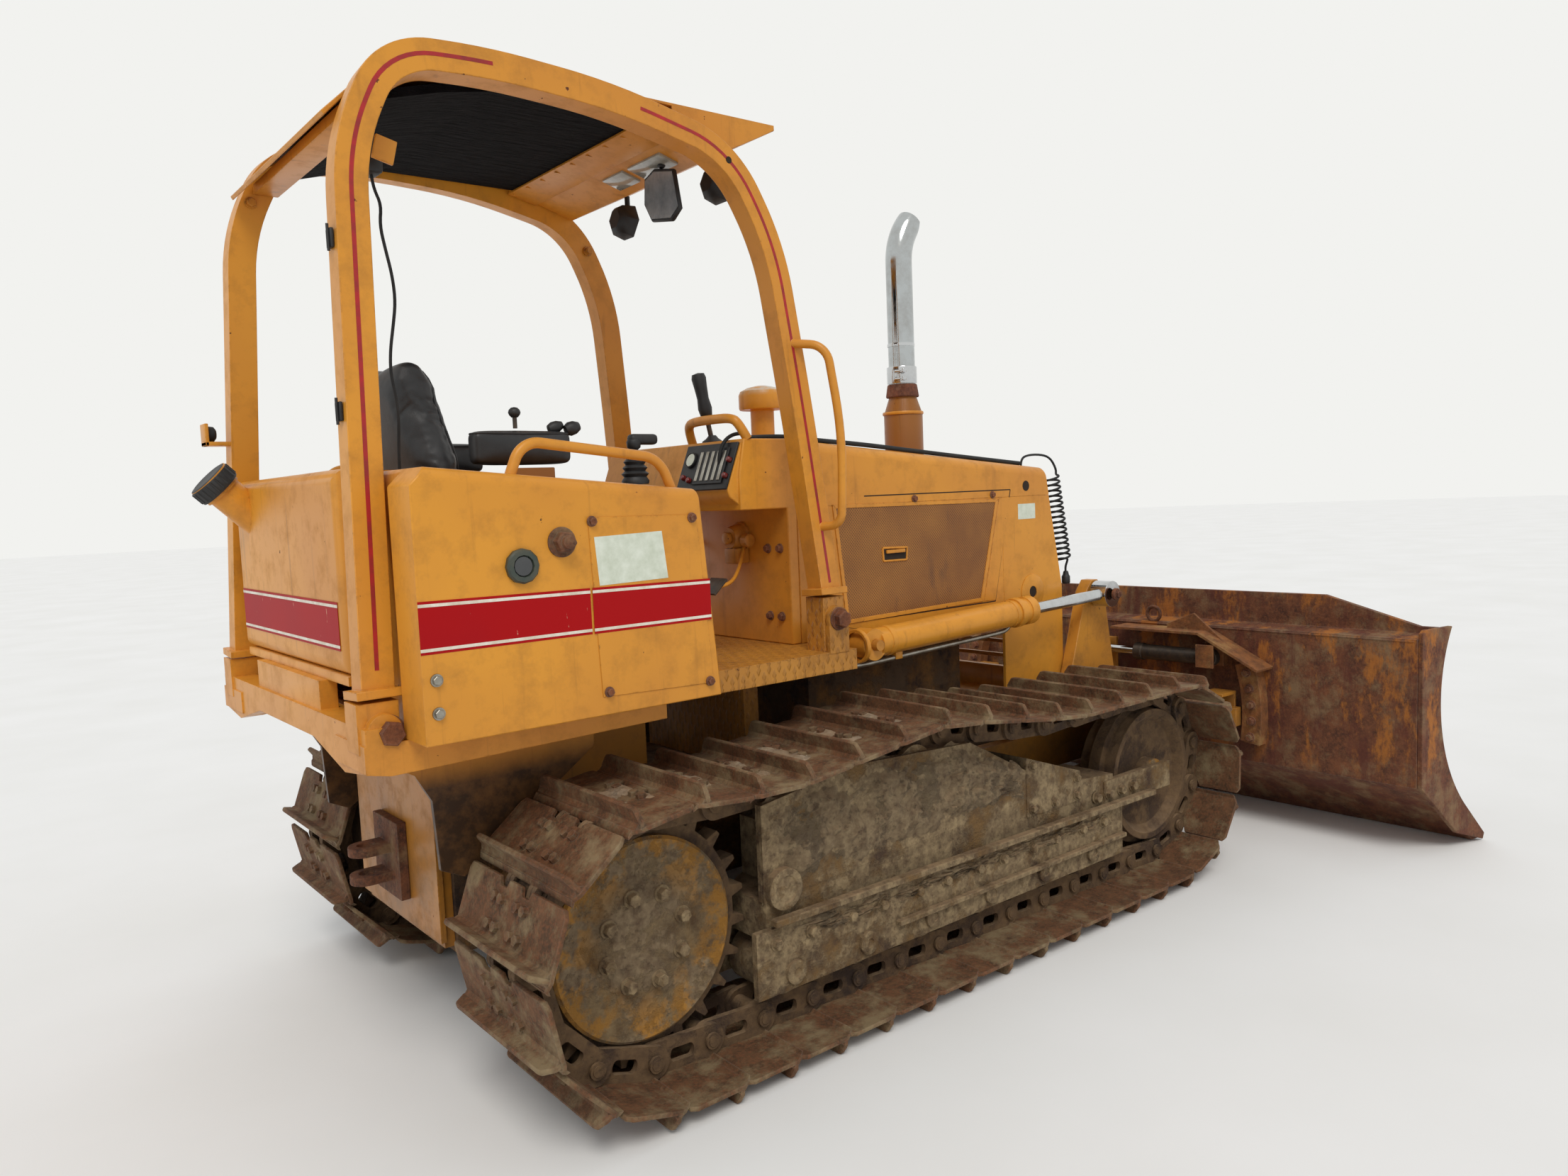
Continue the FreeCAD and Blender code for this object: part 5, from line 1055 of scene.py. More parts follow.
class BULLDOZER_OT_tank(bpy.types.Operator):
    """The tank's red band and pinlines and its black ribbed cap."""
    bl_idname = "bulldozer.tank"
    bl_label = "Fuel tank"

    def execute(self, context):
        red, lines = bmesh.new(), bmesh.new()
        for form, out, top, foot, thick in ((red, 0, 1313, 1197, SKIN), (lines, SKIN, 1307, 1300, 0.5),
                                            (lines, SKIN, 1210, 1203, 0.5)):
            corners = [(TANK_X - out, y, z) for y, z in
                       ((-TANK_HALF, top), (TANK_HALF, top), (TANK_HALF, foot), (-TANK_HALF, foot))]
            plate(form, corners, (-thick, 0, 0), 0)
        piece("band_rear", red, "red")
        piece("pinlines_rear", lines, "white line")
        cap = bmesh.new()
        lean = Vector((-1, 0, 1))
        start = Vector(FILLER) + lean.normalized() * 87
        turned(cap, start, lean, [(0, 52), (0, 60.5), (6, 62), (38, 62), (45, 58), (47, 50), (46, 44),
                                  (46, 0)], 48)
        for i in range(24):
            angle = 2 * math.pi * i / 24
            out = Vector((math.cos(angle), math.sin(angle), 0))
            turn = lean.to_track_quat("Z", "Y")
            foot, tip = (start + turn @ (out * 60 + Vector((0, 0, z))) for z in (6, 39))
            rod(cap, foot, tip, 4.2, 8)
        piece("tank_cap", cap, "black")
        collar = bmesh.new()
        neck = Vector(FILLER) + lean.normalized() * 78
        turned(collar, neck, lean, [(0, 48.5), (0, 54), (9, 54), (9, 48.5)], 40)
        piece("tank_neck_collar", collar, "yellow")
        return {"FINISHED"}


# Hood and side screens.

HOOD_Y = 395
DOOR = [(1022, 1483), (1868, 1474), (1766, 1094), (1068, 1082)]
PUNCHED = [(1038, 1470), (1850, 1462), (1752, 1108), (1082, 1096)]


class BULLDOZER_OT_hood(bpy.types.Operator):
    """The hood's seams and bolts, the punched doors with their frames, and the guard's boss and holes."""
    bl_idname = "bulldozer.hood"
    bl_label = "Hood and side doors"

    def execute(self, context):
        for side, word in SIDES:
            frame_form, mesh_form, bolts, dark = (bmesh.new() for _ in range(4))
            y = HOOD_Y
            side_plate(mesh_form, side, y, PUNCHED, 1.2, 0)
            for (a, b), (c, d) in zip(in_pairs(DOOR), in_pairs(PUNCHED)):
                side_plate(frame_form, side, y, [a, b, d, c], 3.5, 0.8)
            side_plate(frame_form, side, y, [(1872, 1476), (1936, 1478), (1838, 1092), (1772, 1094)], 2.0,
                       0.8)
            piece("door_mesh_" + word, mesh_form, "punched")
            for x, z in ((1412, 1490), (1834, 1491)):
                bolt(bolts, (x, side * y, z), (0, side, 0), 17, 8, True, 0.2)
            # The lifted push arm passes 6 mm outside this face, so what it sweeps over is flat.
            bolt(bolts, (2101, side * y, 1143), (0, side, 0), 17, 3, False, 0.2)
            piece("hood_bolts_" + word, bolts, "rusty bolt")
            handle = [(1247, 1326), (1367, 1322), (1362, 1279), (1250, 1281)]
            side_plate(dark, side, y + 1.2, handle, 0.8, 0)
            piece("handle_recess_" + word, dark, "dark recess")
            for a, b in in_pairs(handle):
                rod(frame_form, (a[0], side * (y + 1.5), a[1]), (b[0], side * (y + 1.5), b[1]), 4, 8)
            block(frame_form, (1262, min(side * (y + 1), side * (y + 9)), 1306),
                  (1352, max(side * (y + 1), side * (y + 9)), 1318), 2)
            piece("door_frame_" + word, frame_form, "yellow")
            seam = bmesh.new()
            for a, b in (((1169, 1507), (1941, 1507)), ((1941, 1507), (1838, 1088)),
                         ((900, 1083), (1838, 1088))):
                way = Vector((b[0] - a[0], 0, b[1] - a[1])).normalized()
                lean = Vector((-way.z, 0, way.x)) * 2
                corners = [(a[0] + lean.x, a[1] + lean.z), (b[0] + lean.x, b[1] + lean.z),
                           (b[0] - lean.x, b[1] - lean.z), (a[0] - lean.x, a[1] - lean.z)]
                side_plate(seam, side, y, corners, 0.5, 0)
            piece("hood_seams_" + word, seam, "dark recess")
            boss, hole = bmesh.new(), bmesh.new()
            turned(boss, (2063, side * y, 1105), (0, side, 0),
                   [(0, 0), (0, 69), (2.5, 69), (4, 66), (4, 22), (0, 22)], 40)
            disc(hole, (2063, side * (y + 1), 1105), (0, side, 0), 22, 1)
            disc(hole, (2036, side * y, 1519), (0, side, 0), 20, 0.8)
            piece("guard_boss_" + word, boss, "yellow")
            piece("guard_holes_" + word, hole, "dark recess")
        label = bmesh.new()
        side_plate(label, -1, HOOD_Y, [(1985, 1450), (2090, 1450), (2090, 1391), (1985, 1391)], 0.6, 0)
        piece("blank_hood_plate", label, "blank plate")
        return {"FINISHED"}


# The exhaust's x and y, and the air cleaner's.
STACK, CLEANER = (1715, -60), (1060, 0)


class BULLDOZER_OT_exhaust(bpy.types.Operator):
    """The stack's sleeve and clamp, the burnt collar, the muffler's seams and the air cleaner."""
    bl_idname = "bulldozer.exhaust"
    bl_label = "Exhaust and air cleaner"

    def execute(self, context):
        x, y = STACK
        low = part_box("exhaust_stack")[0].z * 1000
        clamp, burnt, muffler = bmesh.new(), bmesh.new(), bmesh.new()
        turned(clamp, (x, y, low + 8), (0, 0, 1), [(0, 51), (0, 57), (2, 58), (62, 58), (64, 57), (64, 51)],
               40)
        turned(clamp, (x, y, low + 150), (0, 0, 1), [(0, 51), (0, 52.6), (6, 53.4), (12, 52.6), (12, 51)], 40)
        for z in (22, 52):
            rod(clamp, (x - 40, y - 62, low + z), (x - 74, y - 34, low + z), 4.5, 10)
            block(clamp, (x - 62, y - 66, low + z - 7), (x - 44, y - 50, low + z + 7), 2)
        turned(burnt, (x, y, low - 44), (0, 0, 1), [(0, 52), (0, 62), (4, 64), (30, 60), (48, 57), (50, 52)],
               40)
        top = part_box("exhaust_muffler")[1].z * 1000
        for z, out in ((top - 290, 77), (top - 112, 77.5)):
            turned(muffler, (x, y, z), (0, 0, 1),
                   [(0, 74), (0, out), (3, out + 2), (9, out + 2), (12, out), (12, 74)], 44)
        cleaner = bmesh.new()
        turned(cleaner, (*CLEANER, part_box("precleaner")[0].z * 1000), (0, 0, 1),
               [(0, 0), (0, 42), (132, 42), (136, 46), (138, 79), (143, 82), (190, 82), (203, 76), (215, 52),
                (222, 20), (223, 0)], 48)
        piece("precleaner.finished", cleaner, "bleached cap", replaced=("precleaner",))
        piece("stack_clamp", clamp, "chrome")
        piece("stack_collar", burnt, "burnt")
        piece("muffler_seams", muffler, "yellow")
        return {"FINISHED"}


# Undercarriage.

DISC_FACE, SPROCKET_Z, IDLER_Z = 744, 421.2, 405
MUD_TOP = [(345, 698), (700, 744), (1191, 720), (1463, 578), (1500, 500)]
MUD_FOOT = [(345, 432), (1500, 482)]
GUARD_FACE = 832
ROLLERS_X = [430 + 275 * i for i in range(6)]


def level_on(line, x):
    """The height of a line of (x, z) corners at x."""
    for (x0, z0), (x1, z1) in zip(line, line[1:]):
        if x <= x1:
            break
    return z0 + (z1 - z0) * (x - x0) / (x1 - x0)


def mud_bank(form, side, start, end, foot, top, face, depth, seed):
    """A lumpy bank of dried mud on an upright face: swollen in the middle, drawn in at its rim."""
    part = bmesh.new()
    columns, rows = 90, 26
    bmesh.ops.create_grid(part, x_segments=columns, y_segments=rows, size=1)
    for vert in part.verts:
        across, up = (vert.co.x + 1) / 2, (vert.co.y + 1) / 2
        x = start + (end - start) * across
        low, high = level_on(foot, x), level_on(top, x)
        rim = min(1.0, 9 * across, 9 * (1 - across), 5 * up, 5 * (1 - up))
        big = noise.noise(Vector((x / 110 + seed, up * 4, seed)))
        small = noise.noise(Vector((x / 27, up * 15 + seed, seed * 2.3)))
        crumb = noise.noise(Vector((x / 9, up * 48, seed * 1.7)))
        out = face + rim * (depth * (0.6 + 0.9 * big) + 14 * small + 5 * crumb) - (1 - rim) * 6
        ragged = 26 * noise.noise(Vector((x / 60, seed, 3.0 * up)))
        ragged += 9 * noise.noise(Vector((x / 17, seed, 5.0 * up)))
        z = low + (high - low) * up + ragged * abs(2 * up - 1) + (1 - abs(2 * up - 1)) * 9 * small
        vert.co = at(x, side * out, z)
    join(form, part)


class BULLDOZER_OT_undercarriage(bpy.types.Operator):
    """Sprocket discs, idler hubs, the roller frames' ledges, caps and bolts, and banks of dried mud."""
    bl_idname = "bulldozer.undercarriage"
    bl_label = "Undercarriage"

    def execute(self, context):
        for side, word in SIDES:
            disc, bolts, ledges, caps, mud = (bmesh.new() for _ in range(5))
            out = (0, side, 0)
            turned(disc, (0, side * DISC_FACE, SPROCKET_Z), out,
                   [(0, 262), (20, 262), (27, 254), (22, 238), (14, 190), (12, 150), (20, 138), (24, 90),
                    (24, 0)], 56)
            for i in range(8):
                turn = math.radians(62 + 45 * i)
                bolt(bolts, (118 * math.cos(turn), side * (DISC_FACE + 22),
                             SPROCKET_Z + 118 * math.sin(turn)), out, 30, 20, True, turn)
            turned(disc, (IDLER_X, side * 788, IDLER_Z), out,
                   [(0, 60), (8, 60), (14, 52), (16, 30), (10, 26), (10, 0)], 32)
            plate(ledges, [(350, side * GUARD_FACE, 372), (2170, side * GUARD_FACE, 357),
                           (2170, side * GUARD_FACE, 377), (350, side * GUARD_FACE, 392)], (0, side * 30, 0),
                  3)
            plate(ledges, [(820, side * GUARD_FACE, 240), (1985, side * GUARD_FACE, 240),
                           (1985, side * GUARD_FACE, 256), (820, side * GUARD_FACE, 256)], (0, side * 24, 0),
                  3)
            for x in ROLLERS_X:
                bolt(bolts, (x - 62, side * GUARD_FACE, 318), out, 26, 15, True, x)
                bolt(bolts, (x + 62, side * GUARD_FACE, 318), out, 26, 15, True, x + 1)
                turned(caps, (x, side * GUARD_FACE, 222), out,
                       [(0, 34), (10, 34), (13, 30), (13, 14), (9, 12), (9, 0)], 24)
            turned(caps, (403, side * 836, 462), out, [(0, 57), (6, 57), (9, 53), (9, 38), (5, 34), (5, 0)],
                   32)
            turned(caps, (950, side * 805, 687), out, [(0, 46), (10, 46), (14, 40), (14, 0)], 28)
            for x, z in ((1492, 440), (1492, 590), (1735, 440), (1735, 500), (1612, 440)):
                bolt(bolts, (x, side * 818, z), out, 22, 13, True, x)
            for x in (1850, 1925, 2000, 2075):
                bolt(bolts, (x, side * 819, 405), out, 28, 16, True, x)
            mud_bank(mud, side, 345, 1500, MUD_FOOT, MUD_TOP, 812, 26, 3.1 + side)
            mud_bank(mud, side, 360, 1990, [(360, 300), (1990, 300)], [(360, 362), (1990, 352)], 828, 14,
                     8.4 + side)
            piece("final_drive_discs_" + word, disc, "sprocket disc", sharp=40)
            piece("undercarriage_bolts_" + word, bolts, "frame")
            piece("guard_ledges_" + word, ledges, "frame")
            piece("undercarriage_caps_" + word, caps, "frame", sharp=40)
            piece("mud_banks_" + word, mud, "dry mud", sharp=60)
        return {"FINISHED"}


# The operator's place.

CLOTH_FRAMES, VOXEL = 20, 0.006
# The gauge panel's top edge as (x, z), and the unit vectors down its slope and out of it.
GAUGE_TOP, GAUGE_DOWN, GAUGE_OUT = (655.9, 1691.8), (-0.3703, -0.9289), (-0.9289, 0.3703)
BULKHEAD_X, ARM_Y = 829.5, 290.7


def swollen(name, form, pressure, cap, nodes):
    """A stuffed piece: its sewn form filled out by cloth under pressure, each point moved at most cap mm."""
    thing = piece(name, form, "vinyl", replaced=nodes, sharp=180)
    voxels = thing.modifiers.new("voxels", "REMESH")
    voxels.mode, voxels.voxel_size = "VOXEL", VOXEL
    set_mesh(thing)
    start = [vert.co.copy() for vert in thing.data.vertices]
    cloth = thing.modifiers.new("filling", "CLOTH")
    cloth.settings.quality = 4
    cloth.settings.use_pressure = True
    cloth.settings.uniform_pressure_force = pressure
    cloth.settings.effector_weights.gravity = 0
    cloth.point_cache.frame_end = CLOTH_FRAMES
    for frame_number in range(1, CLOTH_FRAMES + 1):
        bpy.context.scene.frame_set(frame_number)
    set_mesh(thing)
    bpy.context.scene.frame_set(1)
    for vert, rest in zip(thing.data.vertices, start):
        moved = vert.co - rest
        if moved.length > cap / 1000:
            vert.co = rest + moved.normalized() * cap / 1000
    eased = thing.modifiers.new("eased folds", "SMOOTH")
    eased.factor, eased.iterations = 0.5, 10
    finer = thing.modifiers.new("smooth cover", "SUBSURF")
    finer.levels = finer.render_levels = 1
    thing.data.shade_smooth()
    return thing


def set_mesh(thing):
    """The shape the modifiers give becomes the piece's own mesh, and the modifiers go."""
    shown = thing.evaluated_get(bpy.context.evaluated_depsgraph_get())
    mesh = bpy.data.meshes.new_from_object(shown)
    thing.modifiers.clear()
    old, thing.data = thing.data, mesh
    mesh.name = old.name + ".set"
    bpy.data.meshes.remove(old)


def seat_side(x, y, z):
    """Where a point of the flat-sided back goes: narrower towards the top, its sides drawn forward."""
    high = max(0.0, min(1.0, (z - 1560) / 400))
    narrow = 1 - 0.42 * high ** 2.2
    return x + 34 * (abs(y) / 230) ** 3 * (1 - 0.6 * high), y * narrow, z


def back_form():
    """The seat back before it is filled: a leaning slab with a rounded head and wings."""
    form = bmesh.new()
    side = [(-176, 1500), (-258, 1500), (-262, 1640), (-308, 1880), (-296, 1922), (-266, 1940), (-238, 1926),
            (-216, 1868), (-182, 1660)]
    rows = 12
    for i in range(rows + 1):
        y = -215 + 430 * i / rows
        for x, z in side:
            form.verts.new(at(*seat_side(x, y, z)))
    form.verts.ensure_lookup_table()
    count = len(side)
    loops = [form.verts[i * count:(i + 1) * count] for i in range(rows + 1)]
    rings = [[form.edges.new(pair) for pair in in_pairs(loop)] for loop in loops]
    for before, after in zip(rings, rings[1:]):
        bmesh.ops.bridge_loops(form, edges=before + after)
    bmesh.ops.holes_fill(form, edges=rings[0] + rings[-1], sides=count)
    bmesh.ops.recalc_face_normals(form, faces=form.faces)
    soften(form, 0.018, [e for e in form.edges if e.calc_face_angle(0) > 1.0])
    return form


def piping(name, target, points, radius=3.6):
    """A sewn cord on a cushion: its points are drawn onto the cushion's skin."""
    tree = BVHTree.FromObject(target, bpy.context.evaluated_depsgraph_get())
    form = bmesh.new()
    spots = []
    for point in points:
        hit = tree.find_nearest(at(*point))
        spots.append(hit[0] + hit[1] * radius * 0.0003)
    loops = []
    for before, here, after in zip(spots[-1:] + spots[:-1], spots, spots[1:] + spots[:1]):
        frame_turn = (after - before).to_track_quat("Z", "Y")
        circle = bmesh.ops.create_circle(form, segments=8, radius=radius / 1000)["verts"]
        bmesh.ops.rotate(form, matrix=frame_turn.to_matrix(), verts=circle)
        bmesh.ops.translate(form, vec=here, verts=circle)
        loops.append([e for e in form.edges if e.verts[0] in circle and e.verts[1] in circle])
    for before, after in in_pairs(loops):
        bmesh.ops.bridge_loops(form, edges=before + after)
    return piece(name, form, "vinyl", sharp=180)


def rounded_loop(low, high, level, corner, steps=6):
    """Points round a flat rectangle with rounded corners, in mm."""
    points = []
    for cx, cy, start in ((high[0] - corner, high[1] - corner, 0), (low[0] + corner, high[1] - corner, 90),
                          (low[0] + corner, low[1] + corner, 180), (high[0] - corner, low[1] + corner, 270)):
        for i in range(steps + 1):
            turn = math.radians(start + 90 * i / steps)
            points.append((cx + corner * math.cos(turn), cy + corner * math.sin(turn), level))
    dense = []
    for a, b in in_pairs(points):
        parts = max(1, round(math.dist(a, b) / 25))
        dense += [tuple(p + (q - p) * k / parts for p, q in zip(a, b)) for k in range(parts)]
    return dense


class BULLDOZER_OT_seat(bpy.types.Operator):
    """Vinyl seat: cushion, leaning back and arm pads, filled like stuffed covers, with their piping."""
    bl_idname = "bulldozer.seat"
    bl_label = "Seat"

    def execute(self, context):
        cushion = bmesh.new()
        block(cushion, (-132, -232, 1379), (312, 232, 1478), 26, segments=3)
        cushion = swollen("seat_cushion.finished", cushion, 4, 22, ("seat_cushion",))
        back = swollen("seat_back.finished", back_form(), 4, 22, ("seat_back",))
        pads = bmesh.new()
        for y in (-ARM_Y, ARM_Y):
            block(pads, (-168, y - 30, 1636), (118, y + 30, 1724), 14, segments=3)
        pads = swollen("armrests.finished", pads, 3, 9, ("armrests",))
        piping("cushion_piping", cushion, rounded_loop((-128, -228), (308, 228), 1476, 34))
        for side, word in SIDES:
            y = side * ARM_Y
            piping("arm_piping_" + word, pads, rounded_loop((-166, y - 29), (116, y + 29), 1722, 12), 2.6)
        wings = []
        for y, rows in ((-150, range(1560, 1900, 24)), (150, range(1890, 1550, -24))):
            wings += [seat_side(-182 - (z - 1560) * 0.12, y, z) for z in rows]
        piping("back_piping", back, wings)
        return {"FINISHED"}


def on_gauges(y, down, out=0.0):
    """A point on the gauge panel, so far down its slope and so far out of it."""
    return (GAUGE_TOP[0] + down * GAUGE_DOWN[0] + out * GAUGE_OUT[0], y,
            GAUGE_TOP[1] + down * GAUGE_DOWN[1] + out * GAUGE_OUT[1])


def gauge_plate(form, y0, y1, down0, down1, thick):
    """A plate lying on the gauge panel."""
    plate(form, [on_gauges(y0, down0), on_gauges(y1, down0), on_gauges(y1, down1), on_gauges(y0, down1)],
          (GAUGE_OUT[0] * thick, 0, GAUGE_OUT[1] * thick), 0.8)


class BULLDOZER_OT_dash(bpy.types.Operator):
    """Gauges, knobs and lead on the dash, the hand rail over it, and the valve, pedal and bolts under it."""
    bl_idname = "bulldozer.dash"
    bl_label = "Dash"

    def execute(self, context):
        way = (GAUGE_OUT[0], 0, GAUGE_OUT[1])
        bezel, faces, knobs, metal, yellow, bolts = (bmesh.new() for _ in range(6))
        turned(bezel, on_gauges(-158, 52), way, [(0, 27), (7, 27), (9, 24), (6, 21), (6, 0)], 32)
        disc(faces, on_gauges(-158, 52, 6.3), way, 21, 1, 32)
        gauge_plate(bezel, -352, -196, 18, 136, 4)
        for i in range(5):
            y = -214 - 30 * i
            gauge_plate(metal, y - 7, y + 7, 28, 126, 6.5)
        for y, down in ((-142, 112), (-176, 122), (-366, 60), (-366, 112)):
            turned(knobs, on_gauges(y, down), way, [(0, 9), (10, 9), (13, 6), (13, 0)], 20)
        piece("gauge_bezels", bezel, "black")
        piece("gauge_faces", faces, "blank plate")
        piece("gauge_bars", metal, "zinc")
        piece("dash_knobs", knobs, "red knob")
        tube("dash_rail", [(690, -90, 1700), (676, -92, 1738), (660, -118, 1762), (655, -165, 1768),
                           (655, -270, 1768), (655, -345, 1766), (662, -378, 1752), (690, -384, 1700)], 15,
             "yellow")
        tube("dash_wires", [(752, -332, 1703), (720, -330, 1722), (672, -326, 1716), (640, -322, 1690),
                            (624, -318, 1640), (634, -312, 1604)], 6, "rubber")
        tube("hood_wires", [(742, -330, 1706), (860, -342, 1712), (980, -350, 1698), (1200, -352, 1684),
                            (1500, -350, 1656), (1800, -346, 1630), (2070, -338, 1608)], 8, "rubber")
        turned(yellow, (BULKHEAD_X, -150, 1386), (-1, 0, 0),
               [(0, 52), (8, 52), (12, 46), (40, 40), (52, 34), (52, 0)], 24)
        block(yellow, (776, -190, 1300), (829, -120, 1352), 5)
        turned(yellow, (800, -206, 1378), (0, -1, 0), [(0, 22), (26, 22), (30, 16), (30, 0)], 20)
        rod(yellow, (760, -150, 1386), (776, -150, 1386), 20, 20, edge=3)
        for y, z in ((-290, 1350), (-352, 1351), (-350, 1130), (-290, 1130), (200, 1350), (262, 1351)):
            bolt(bolts, (BULKHEAD_X, y, z), (-1, 0, 0), 20, 10, True, y)
        rod(bolts, (300, -290, 1040), (300, -290, 1066), 9, 12, edge=2)
        piece("brake_valve", yellow, "worn yellow")
        piece("bulkhead_bolts", bolts, "rusty bolt")
        pedals = bmesh.new()
        for y in (-294, 110):
            block(pedals, (596, y - 42, 1211), (604, y + 42, 1279), 2, tilted(48), (600, y, 1245))
        piece("pedal_pads", pedals, "dark metal")
        for word, y, end in (("right", -294, -170), ("left", 110, 110)):
            tube("pedal_rod_" + word, [(602, y, 1243), (665, y, 1238), (760, (y + end) / 2, 1300),
                                       (828, end, 1372)], 6, "yellow")
        return {"FINISHED"}


class BULLDOZER_OT_levers(bpy.types.Operator):
    """Ball lever on the arm pad, twist-grip lever in its boot, and the long grip on the dash."""
    bl_idname = "bulldozer.levers"
    bl_label = "Levers"

    def execute(self, context):
        up = (0, 0, 1)
        black, rods = bmesh.new(), bmesh.new()
        turned(black, (-37, -290, 1776), up, [(-15, 0), (-13, 9), (-6, 15), (0, 17), (7, 15), (13, 9),
                                              (15, 0)], 20)
        rod(rods, (-37, -290, 1733), (-37, -290, 1765), 6, 12)
        for x, y, z, radius in ((88, -282, 1738, 17), (132, -298, 1734, 20)):
            turned(black, (x, y, z), (0.8, -0.1, 0.25),
                   [(-22, 0), (-20, radius * 0.7), (-8, radius), (8, radius * 0.95), (22, radius * 0.6),
                    (25, 0)], 20)
        for x, y, low, high in ((363, -250, 1040, 1640), (430, 190, 1040, 1500)):
            rod(rods, (x, y, low), (x, y, high), 9, 16)
            boot = [(0, 40), (10, 42)]
            for i in range(4):
                boot += [(22 + 18 * i, 34 - 3 * i), (31 + 18 * i, 42 - 4 * i)]
            turned(black, (x, y, high - 68), up, boot + [(96, 17), (104, 12), (104, 0)], 28)
        rod(rods, (363, -250, 1640), (363, -250, 1690), 9, 16)
        turned(black, (363, -250, 1676), up, [(0, 14), (6, 20), (22, 22), (30, 18), (30, 0)], 24)
        block(black, (347, -268, 1690), (442, -232, 1722), 12, segments=3)
        turned(black, (430, 190, 1500), up, [(0, 10), (10, 20), (40, 24), (54, 18), (60, 0)], 24)
        rod(rods, (720, -160, 1699), (700, -156, 1800), 8, 16)
        turned(black, (704, -157, 1782), (-0.18, 0.03, 1),
               [(0, 12), (6, 19), (30, 23), (62, 19), (96, 21), (128, 24), (142, 20), (146, 0)], 24)
        turned(black, (720, -160, 1699), up, [(0, 34), (6, 34), (16, 20), (26, 12), (26, 0)], 24)
        piece("levers.finished", black, "black", replaced=("levers",), sharp=50)
        piece("lever_rods", rods, "dark metal")
        return {"FINISHED"}


class BULLDOZER_OT_canopy(bpy.types.Operator):
    """Rails and lamps under the roof, work lamps, mirror, and the clips and bolts of the arches."""
    bl_idname = "bulldozer.canopy"
    bl_label = "Canopy"

    def execute(self, context):
        rails, glass, black, clear, bolts = (bmesh.new() for _ in range(5))
        for x, z in ((346, 2576), (372, 2568), (398, 2563)):
            block(rails, (x, -424, z - 4), (x + 5, 424, z + 12), 1)
        for y in range(-400, 401, 100):
            block(rails, (342, y - 3, 2566), (404, y + 3, 2575), 0.5)
        block(rails, (337, -424, 2572), (442, 424, 2580), 1.5, tilted(13), (337, 0, 2580))
        for low, high in ((-300, -120), (-90, 30)):
            block(glass, (470, low, 2530), (540, high, 2540), 2, tilted(16.5), (505, 0, 2535))
        for x, y, z in ((640, -360, 2440), (600, 120, 2425)):
            turned(black, (x, y + 60, z + 48), (1, 0, -0.12),
                   [(0, 0), (0, 34), (14, 52), (58, 60), (62, 60), (62, 52), (58, 50), (58, 0)], 6)
            turned(clear, (x + 57, y + 60, z + 41), (1, 0, -0.12), [(0, 50), (2, 50), (3, 0)], 6)
        outline = [(-345, 2380), (-300, 2352), (-190, 2372), (-152, 2430), (-160, 2508), (-215, 2526),
                   (-320, 2500)]
        plate(black, [(505, y, z) for y, z in outline], (14, 0, 0), 4)
        plate(clear, [(503.5, y * 0.92 - 20, 2440 + (z - 2440) * 0.88) for y, z in outline], (1.5, 0, 0), 0)
        turned(black, (512, -250, 2520), (0, 0, 1), [(0, 8), (6, 13), (14, 8), (17, 8), (17, 0)], 16)
        for side in (-1, 1):
            for x, z, y in ((640, 2420, 447), (-478, 2440, 449)):
                bolt(bolts, (x, side * (y - 10), z), (0, -side, 0), 22, 12, True, z)
        block(rails, (-420, -424, 2352), (-368, -414, 2410), 2, tilted(14))
        block(rails, (-470, -437, 2464), (-400, 437, 2493), 3)
        block(black, (-436, -374, 2340), (-380, -306, 2424), 9)
        for x, y, low, high in ((-410, -340, 2418, 2466), (695, -300, 2530, 2573), (655, 180, 2515, 2554)):
            rod(black, (x, y, low), (x, y, high), 9, 16)
        piece("roof_rails", rails, "yellow")
        piece("cab_lamp_glass", glass, "lens")
        piece("roof_fittings.finished", black, "black", replaced=("roof_fittings",), sharp=40)
        piece("mirror_and_lenses", clear, "mirror glass", sharp=40)
        piece("roof_bolts", bolts, "worn yellow")
        return {"FINISHED"}


# Arches' lines and feet, cylinders, and what is welded and bolted to the blade.

# An arch's line as (x, z), its half tube, and y of its foot, from which it leans inwards to its outer face.
BAR_LINE = [(-563, 1108), (-508, 2360), (-400, 2590), (-150, 2612), (200, 2600), (580, 2520), (720, 2260),
            (775, 1800), (827, 1220)]
BAR_HALF, BAR_FOOT_Y, BAR_LEAN, BAR_OUT = 38, 569, math.radians(4.06), 33.4
# Half the red line's width, and between which x it is broken.
STRIPE, LINE_BREAK = 5, (-120, 262)
# The hole in the arch is at the point of its line nearest to here.
HOLE = (629, 2547)


def bar_y(z, out=0.0):
    """How far to the side an arch's middle is at a height, and what stands out mm from it."""
    return BAR_FOOT_Y + out / math.cos(BAR_LEAN) - math.tan(BAR_LEAN) * (z - BAR_LINE[0][1])


def rounded_run(corners, steps=9):
    """Corners in the XZ plane, each rounded by an arc that takes 0.45 of its shorter side."""
    spots = [Vector((x, 0, z)) for x, z in corners]
    run = [spots[0]]
    for before, corner, after in zip(spots, spots[1:], spots[2:]):
        first, second = before - corner, after - corner
        reach = 0.45 * min(first.length, second.length)
        first.normalize()
        second.normalize()
        turn = math.pi - first.angle(second)
        radius = reach / math.tan(turn / 2)
        middle = corner + (first + second).normalized() * math.hypot(radius, reach)
        start, end = corner + first * reach - middle, corner + second * reach - middle
        run += [middle + start.slerp(end, i / steps) * radius for i in range(steps + 1)]
    return run + [spots[-1]]


